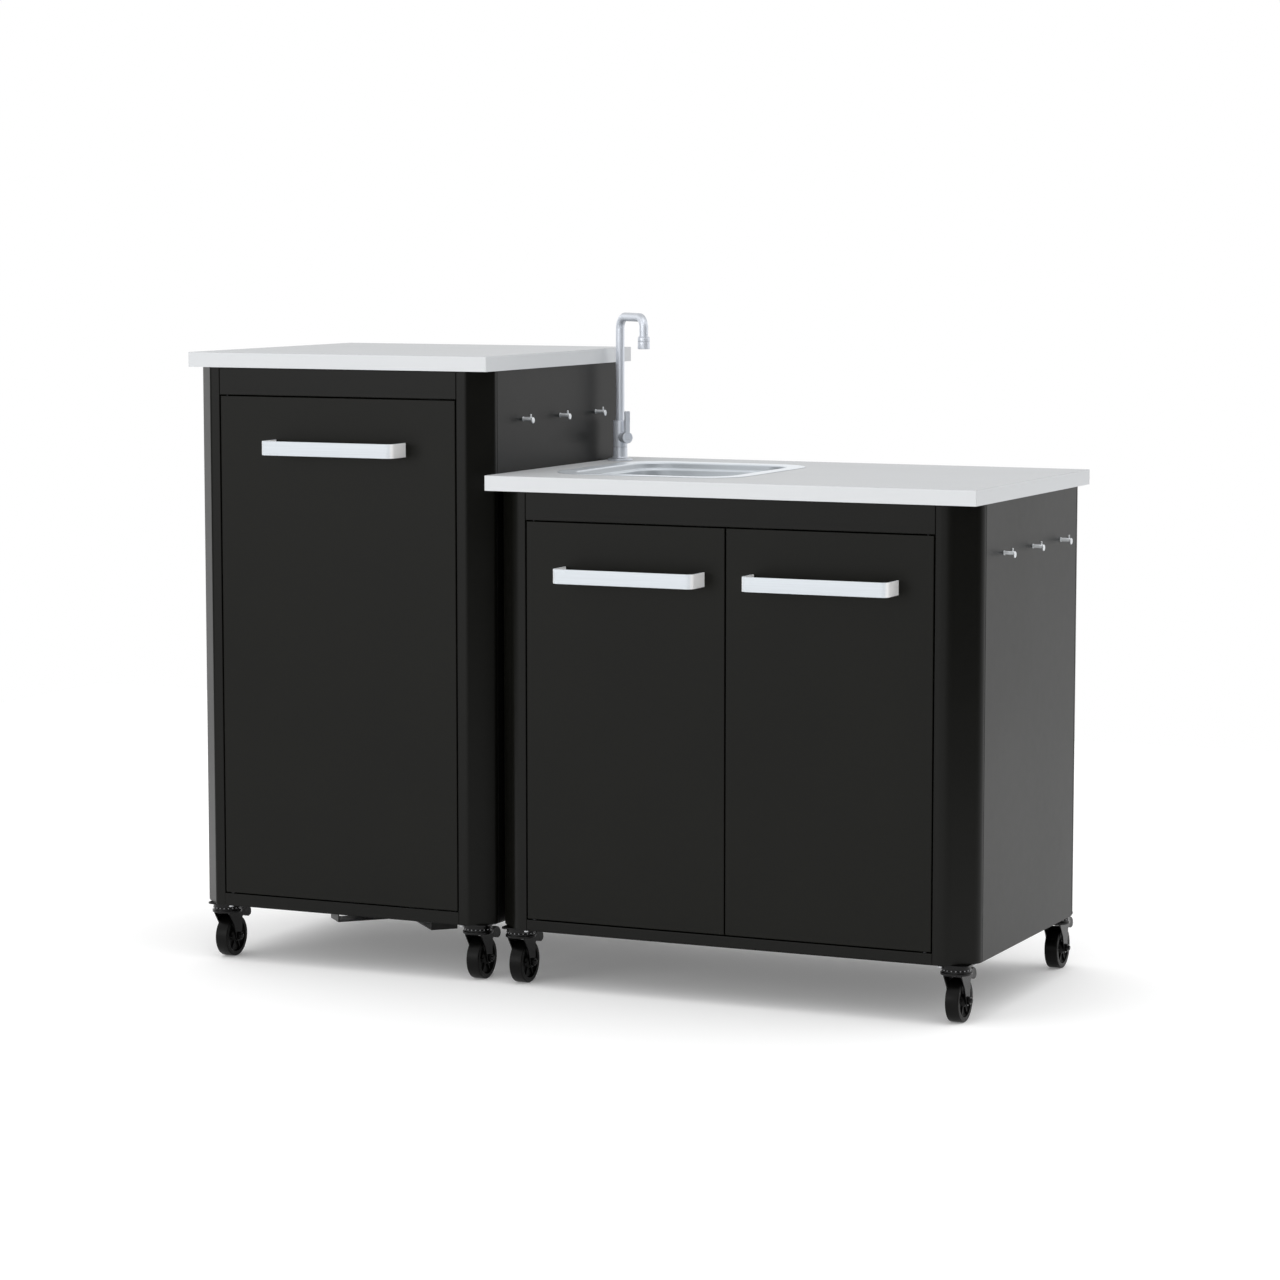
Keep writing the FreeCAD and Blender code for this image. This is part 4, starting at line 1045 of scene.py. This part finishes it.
    def make_nozzle(self) -> None:
        """Build the aerator with its grip groove and inner sieve."""
        low, high, waist = self.nozzle_low, self.nozzle_high, self.nozzle - self.groove
        profile = [
            (self.tube, high - 0.4), (self.nozzle, high - 0.4, 0.6), (self.nozzle, high - 7.0, 0.2),
            (waist, high - 7.3, 0.1), (waist, high - 8.1, 0.1), (self.nozzle, high - 8.4, 0.2),
            (self.nozzle, low, 0.7), (self.nozzle - 2.0, low, 0.4), (self.nozzle - 2.4, low + 2.5, 0.2),
        ]
        for circle in range(self.sieve_rings):
            radius = self.nozzle - 2.6 - 2.0 * circle
            profile += [(radius, low + 2.2), (radius - 1.0, low + 2.9)]
        profile += [(0.0, low + 2.6)]
        nozzle = Piece("tap_aerator_nozzle")
        nozzle.lathe(soft(profile, 0.15, 3, closed=False), self.outlet())
        nozzle.done(TAP_STEEL, "tap_spout", ["tap_aerator"])

    def make_lever(self) -> None:
        """Build the lever: a round cap with a flat upright blade."""
        start, end, radius = self.boss_end + 0.1, self.lever_end, self.lever_cap
        cap = [
            (0.0, start), (radius, start, 0.6), (radius, end, 1.4), (radius - 2.5, end, 0.5),
            (radius - 3.0, end - 0.3, 0.3), (0.0, end - 0.3),
        ]
        lever = Piece("tap_lever_blade")
        lever.lathe(soft(cap, 0.3, closed=False), self.valve())
        foot, head = self.valve_height - 4.0, self.lever_top
        outline = [
            (0.4 - self.blade, foot, 1.0), (self.blade - 0.4, foot, 1.0),
            (self.blade, head, 2.2), (-self.blade, head, 2.2),
        ]
        lever.slab(soft(outline, 1.0, 5), end - 5.0, end - 0.1, self.here @ turned(Axis.X), 0.7)
        lever.done(TAP_STEEL, "tap_lever", ["tap_lever"])


@dataclass
class HookRow:
    """The small hooks on both right sides, in millimetres."""

    count: int = 3
    pitch: float = 150.0
    reach: float = 21.0
    stem: float = 3.4
    rose: float = 4.0
    tip: float = 5.5
    tip_drop: float = 2.3
    tip_depth: float = 2.6
    peg: float = 1.75
    peg_top: float = 8.6
    peg_setback: float = 5.4

    def make(self) -> None:
        """Build all six hooks as one piece."""
        low, high = in_millimetres(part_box("utensil_hooks"))
        walls = ((low.x, high.z - self.peg_top), (high.x - self.reach, low.z + self.tip + self.tip_drop))
        hooks = Piece("utensil_hook_set")
        for wall, level in walls:
            for number in range(self.count):
                self.add(hooks, Vector((wall, low.y + self.tip + number * self.pitch, level)))
        hooks.done(HOOK_STEEL, "cabinets", ["utensil_hooks"])

    def add(self, hooks: Piece, spot: Vector) -> None:
        """Add one hook.

        Args:
            hooks: The piece that grows.
            spot: Where the stem leaves the panel.
        """
        stem = [
            (0.0, 0.0), (self.rose, 0.0), (self.rose, 1.6, 0.4), (self.stem, 2.0, 0.2),
            (self.stem, self.reach - 1.0), (0.0, self.reach - 1.0),
        ]
        hooks.lathe(soft(stem, 0.2, 3, closed=False), turned(Axis.X, spot), 28)
        start = self.reach - self.tip_depth
        tip = [(0.0, start), (self.tip, start, 0.7), (self.tip, self.reach, 1.0), (0.0, self.reach)]
        hooks.lathe(soft(tip, 0.3, closed=False), turned(Axis.X, spot - Vector((0, 0, self.tip_drop))), 32)
        peg = [(self.peg, 0.0), (self.peg, self.peg_top, 1.2), (0.0, self.peg_top)]
        peg_spot = spot + Vector((self.reach - self.peg_setback, 0, 0))
        hooks.lathe(soft(peg, 0.3, closed=False), turned(Axis.Z, peg_spot), 20)


@dataclass
class BottleCradle:
    """Crossed straps under the tall cabinet."""

    node: str = "gas_bottle_cradle"

    def make(self) -> None:
        """Dress the straps."""
        dress(self.node, CRADLE_PAINT)


@dataclass
class Castor:
    """A swivel castor with its fork, wheel, ball race and brake pedal, in millimetres."""

    name: str
    trail: float = 14.0
    wheel: float = 37.5
    wheel_half: float = 12.0
    rim: float = 28.5
    web_half: float = 7.0
    hub: float = 12.0
    hub_half: float = 13.0
    bore: float = 4.05
    ribs: int = 6
    rib_half: float = 1.3
    inner_half: float = 14.25
    sheet: float = 2.5
    eye: float = 9.5
    eye_start: float = 4.0
    eye_sweep: float = 188.0
    eye_steps: int = 14
    crown: float = 27.0
    crown_bore: float = 5.05
    crown_low: float = 84.0
    crown_high: float = 88.4
    front: float = -22.0
    waist: float = 26.0
    back: float = 38.0
    bridge_half: float = 23.5
    bridge_shift: float = 1.5
    swivel: float = 92.4
    race: float = 25.0
    balls: int = 20
    ball: float = 1.4
    axle: float = 4.0
    axle_end: float = 7.5
    axle_head: float = 7.5
    head_depth: float = 4.5
    pedal_half: float = 13.75
    pedal_pin: float = 2.4
    pedal_pin_half: float = 16.7
    pedal_pivot: Spot = (32.0, 82.0)
    pedal_outline: tuple[Corner, ...] = (
        (27.6, 76.0, 2.0), (34.0, 72.5, 2.0), (44.0, 69.0, 6.0), (56.0, 66.5, 4.0), (62.0, 69.0, 3.0),
        (64.0, 74.0, 3.0), (63.0, 81.0, 4.0), (58.0, 86.0, 4.0), (48.0, 89.0, 6.0), (38.0, 89.5, 6.0),
        (27.6, 88.0, 2.0),
    )
    grips: int = 3
    grip_half: float = 10.0
    grip_start: Spot = (44.0, 89.0)
    grip_step: Spot = (4.2, -0.9)

    def make(self) -> None:
        """Build the castor's moving pieces."""
        spot = joint_spot(f"{self.name}_swivel")
        self.foot = Vector((spot.x, spot.y, 0))
        self.fork = f"{self.name}_fork"
        self.outer_half = self.inner_half + self.sheet
        self.make_fork()
        self.make_axle()
        self.make_race()
        self.make_wheel()
        self.make_pedal()

    def flat(self, spot: Spot = (0.0, 0.0)) -> Matrix:
        """A place in the castor's own side plane: X to the back, Y up, Z to the right."""
        return turned(Axis.X, self.foot + Vector((0, *spot)))

    def make_fork(self) -> None:
        """Build the pressed fork: crown, race wall and two cheeks."""
        fork = Piece(f"{self.name}_fork_pressing")
        top = self.crown_high
        steps = range(self.eye_steps + 1)
        turns = [math.radians(self.eye_start - self.eye_sweep * step / self.eye_steps) for step in steps]
        cheek = [
            (self.back, top, 2.0), (self.back, top - 12.0, 3.0), (self.waist, top - 17.0, 3.0),
            *arc(turns, self.eye, (self.trail, self.wheel)),
            (-4.0, top - 27.0, 14.0), (-18.0, top - 8.0, 5.0), (self.front, top, 0.8),
        ]
        outline = soft(cheek[::-1], 0.8)
        for low, high in ((-self.outer_half, -self.inner_half), (self.inner_half, self.outer_half)):
            fork.slab(outline, low, high, self.flat(), 0.5)
        crown = [
            (self.crown_bore, self.crown_low), (self.crown, self.crown_low, 0.8), (self.crown, top, 1.4),
            (self.race + 0.6, top, 0.5), (self.race, top + 0.8, 0.5), (self.race, self.swivel, 0.9),
            (self.crown_bore, self.swivel),
        ]
        fork.lathe(soft(crown, 0.4, closed=False), turned(Axis.Z, self.foot))
        bridge = oblong((self.outer_half - 0.3, self.bridge_half), 2.0, shift=self.bridge_shift)
        fork.slab(bridge, self.crown_low + 0.2, top - 0.1, turned(Axis.Z, self.foot))
        fork.done(CASTOR_PAINT, self.fork, [f"{self.name}_caster_fork"])

    def make_axle(self) -> None:
        """Build the axle bolt with its head and lock nut."""
        axle = Piece(f"{self.name}_axle_bolt")
        place, outer = self.flat((self.trail, self.wheel)), self.outer_half
        start, end = 0.1 - self.head_depth - outer, outer + self.axle_end
        rod = [(0.0, start), (self.axle, start), (self.axle, end, 0.8), (0.0, end)]
        axle.lathe(soft(rod, 0.2, 3, closed=False), place, 24)
        head = soft(arc(full_turn(6), self.axle_head), 0.5, 2)
        for low in (-outer - self.head_depth, outer):
            axle.slab(head, low, low + self.head_depth, place, 0.6)
        axle.done(CASTOR_PAINT, self.fork)

    def make_race(self) -> None:
        """Build the balls that show in the swivel's race."""
        race = Piece(f"{self.name}_race_balls")
        profile = arc(map(math.radians, range(-90, 91, 30)), self.ball)
        for x, y in arc(full_turn(self.balls), self.race - 0.5, self.foot.xy):
            race.lathe(profile, turned(Axis.Z, (x, y, self.swivel + 0.2)), 12)
        race.done(BALL_STEEL, self.fork)

    def make_wheel(self) -> None:
        """Build the wheel with its tread, recessed ribbed sides and hub."""
        half, radius, web = self.wheel_half, self.wheel, self.web_half
        hub, boss, rim = self.hub, self.hub_half, self.rim
        side: list[Corner] = [
            (self.bore, boss), (hub - 3.0, boss, 0.6), (hub - 2.0, boss - 1.0, 0.6),
            (hub, web + 2.0, 1.0), (hub + 0.8, web, 1.2), (rim - 1.5, web, 1.5), (rim, web + 2.0, 1.0),
            (rim + 0.3, half, 0.6), (radius - 4.6, half, 0.3), (radius - 4.2, half - 0.3, 0.2),
            (radius - 3.8, half, 0.3), (radius, half, 3.6),
        ]
        profile = side + [(x, -y, *rest) for x, y, *rest in reversed(side)]
        wheel = Piece(f"{self.name}_wheel_moulding")
        place = self.flat((self.trail, self.wheel))
        wheel.lathe(soft(profile, 0.4, 5, closed=False), place, 56)
        inner, outer, wide = hub - 1.0, rim + 1.0, self.rib_half
        blade = [(inner, -wide), (outer, -wide), (outer, wide), (inner, wide)]
        for rib in range(self.ribs):
            spoke = place @ Matrix.Rotation(math.tau * rib / self.ribs, 4, "Z")
            for low, high in ((web - 1.0, web + 3.0), (-web - 3.0, 1.0 - web)):
                wheel.slab(blade, low, high, spoke, 0.5)
        wheel.done(WHEEL_RUBBER, f"{self.name}_wheel", [f"{self.name}_caster_wheel"])

    def make_pedal(self) -> None:
        """Build the brake pedal with its grip ribs."""
        pedal = Piece(f"{self.name}_pedal_moulding")
        outline = soft(self.pedal_outline, 1.0)
        pedal.slab(outline, -self.pedal_half, self.pedal_half, self.flat(), 1.6)
        for grip in range(self.grips):
            x, y = (start + step * grip for start, step in zip(self.grip_start, self.grip_step))
            blade = [(x, y - 1.6), (x + 2.0, y - 2.0), (x + 1.6, y - 0.1), (x + 0.4, y + 0.2)]
            pedal.slab(blade, -self.grip_half, self.grip_half, self.flat(), 0.2)
        radius, half = self.pedal_pin, self.pedal_pin_half
        pin = [(0.0, -half), (radius, -half), (radius, half), (0.0, half)]
        pedal.lathe(soft(pin, 0.3, 2, closed=False), self.flat(self.pedal_pivot), 20)
        pedal.done(PEDAL_PLASTIC, f"{self.name}_pedal", [f"{self.name}_brake_pedal"])


@dataclass
class SmallParts:
    """Small parts that come in groups: castor plates and their screws, hinge pins, door catches."""

    finishes: tuple[tuple[str, Finish], ...] = (
        ("caster_plates", CASTOR_PAINT), ("caster_screws", PIN_STEEL),
        ("door_pivot_pins", DARK_STEEL), ("door_magnet_catches", CATCH_PLASTIC),
    )

    def make(self) -> None:
        """Dress each group."""
        for node, finish in self.finishes:
            dress(node, finish)


@dataclass(frozen=True)
class Lamp:
    """One soft lamp that points at the unit: its place and size in metres and its power in watts."""

    name: str
    spot: Point
    size: Spot
    energy: float
    aim: Point = (0.0, 0.0, 0.5)

    def make(self) -> None:
        """Build the lamp."""
        data = bpy.data.lights.new(self.name, "AREA")
        data.shape = "RECTANGLE"
        data.size, data.size_y = self.size
        data.energy = self.energy
        lamp = bpy.data.objects.new(self.name, data)
        lamp.location = self.spot
        lamp.rotation_euler = (Vector(self.aim) - lamp.location).to_track_quat("-Z", "Y").to_euler()
        bpy.context.scene.collection.objects.link(lamp)


@dataclass(frozen=True)
class DarkPatch:
    """A darker part of the surroundings, with the cosines between which it fades in."""

    aim: Point
    start: float
    end: float
    glow: float = 0.05


@dataclass
class Studio:
    """Floor, soft light and the camera at the photo's angle, in metres."""

    eye: Point = (2.83525, -6.1755, 1.3315)
    turn: float = 0.43
    dip: float = 0.1085
    lens: float = 106.97
    film: float = 36.0
    sight: float = 200.0
    floor_half: float = 3.2
    white: Tint = (1.0, 1.0, 1.0, 1.0)
    sky_rise: Spot = (0.2, 0.9)
    sky_glow: Spot = (1.05, 1.2)
    lamps: tuple[Lamp, ...] = (
        Lamp("soft_top_lamp", (0.9, -0.7, 4.2), (3.0, 2.4), 25.0),
        Lamp("soft_front_lamp", (-2.6, -5.0, 1.6), (3.2, 2.0), 34.0),
    )
    patches: tuple[DarkPatch, ...] = (
        DarkPatch((0.9, -0.43, -0.1), 0.66, 0.92),
        DarkPatch((-0.93, -0.34, -0.1), 0.88, 0.97),
    )

    def make(self) -> None:
        """Build the studio."""
        self.make_floor()
        self.make_sky()
        for lamp in self.lamps:
            lamp.make()
        self.make_camera()

    def make_floor(self) -> None:
        """Build the pale floor."""
        data = bpy.data.meshes.new("studio_floor")
        half = self.floor_half
        corners = [(-half, -half, 0), (half, -half, 0), (half, half, 0), (-half, half, 0)]
        data.from_pydata(corners, [], [(0, 1, 2, 3)])
        data.materials.append(FLOOR.material())
        floor = bpy.data.objects.new("studio_floor", data)
        bpy.context.scene.collection.objects.link(floor)

    def make_sky(self) -> None:
        """Build the even surroundings with darker parts to the front, which only reflections show."""
        world = bpy.data.worlds.new("studio")
        bpy.context.scene.world = world
        world.use_nodes = True
        graph = Graph(world.node_tree)
        place = graph.value("ShaderNodeTexCoord", output="Generated")
        strength = graph.spread(graph.axis(place, 2), *self.sky_rise, *self.sky_glow)
        for patch in self.patches:
            toward = graph.vector("DOT_PRODUCT", place, patch.aim, "Value")
            strength = strength * graph.spread(toward, patch.start, patch.end, 1.0, patch.glow)
        around = graph.value("ShaderNodeBackground", None, {"Color": self.white, "Strength": strength})
        behind = graph.value("ShaderNodeBackground", None, {"Color": self.white, "Strength": 1.0})
        seen = graph.value("ShaderNodeLightPath", output="Is Camera Ray")
        mixed = graph.value("ShaderNodeMixShader", None, {0: seen, 1: around, 2: behind})
        graph.node("ShaderNodeOutputWorld", None, {"Surface": mixed})

    def make_camera(self) -> None:
        """Build the camera."""
        data = bpy.data.cameras.new("camera")
        data.sensor_width = self.film
        data.lens = self.lens
        data.clip_end = self.sight
        camera = bpy.data.objects.new("camera", data)
        camera.location = self.eye
        camera.rotation_euler = (math.pi / 2 - self.dip, 0.0, self.turn)
        bpy.context.scene.collection.objects.link(camera)
        bpy.context.scene.camera = camera
        bpy.context.scene.view_settings.view_transform = "Standard"


def main() -> None:
    """Build the whole unit in order."""
    logging.basicConfig(level=logging.INFO, format="%(message)s")
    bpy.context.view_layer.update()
    Studio().make()
    for name in ("tall", "low"):
        Cabinet(name).make()
    for name in ("tall_door", "low_left_door", "low_right_door"):
        Door(name).make()
    Sink().make()
    Tap().make()
    HookRow().make()
    BottleCradle().make()
    for cabinet in ("tall", "low"):
        for end in ("front", "rear"):
            for side in ("left", "right"):
                Castor(f"{cabinet}_{end}_{side}").make()
    SmallParts().make()


if __name__ == "__main__":
    main()
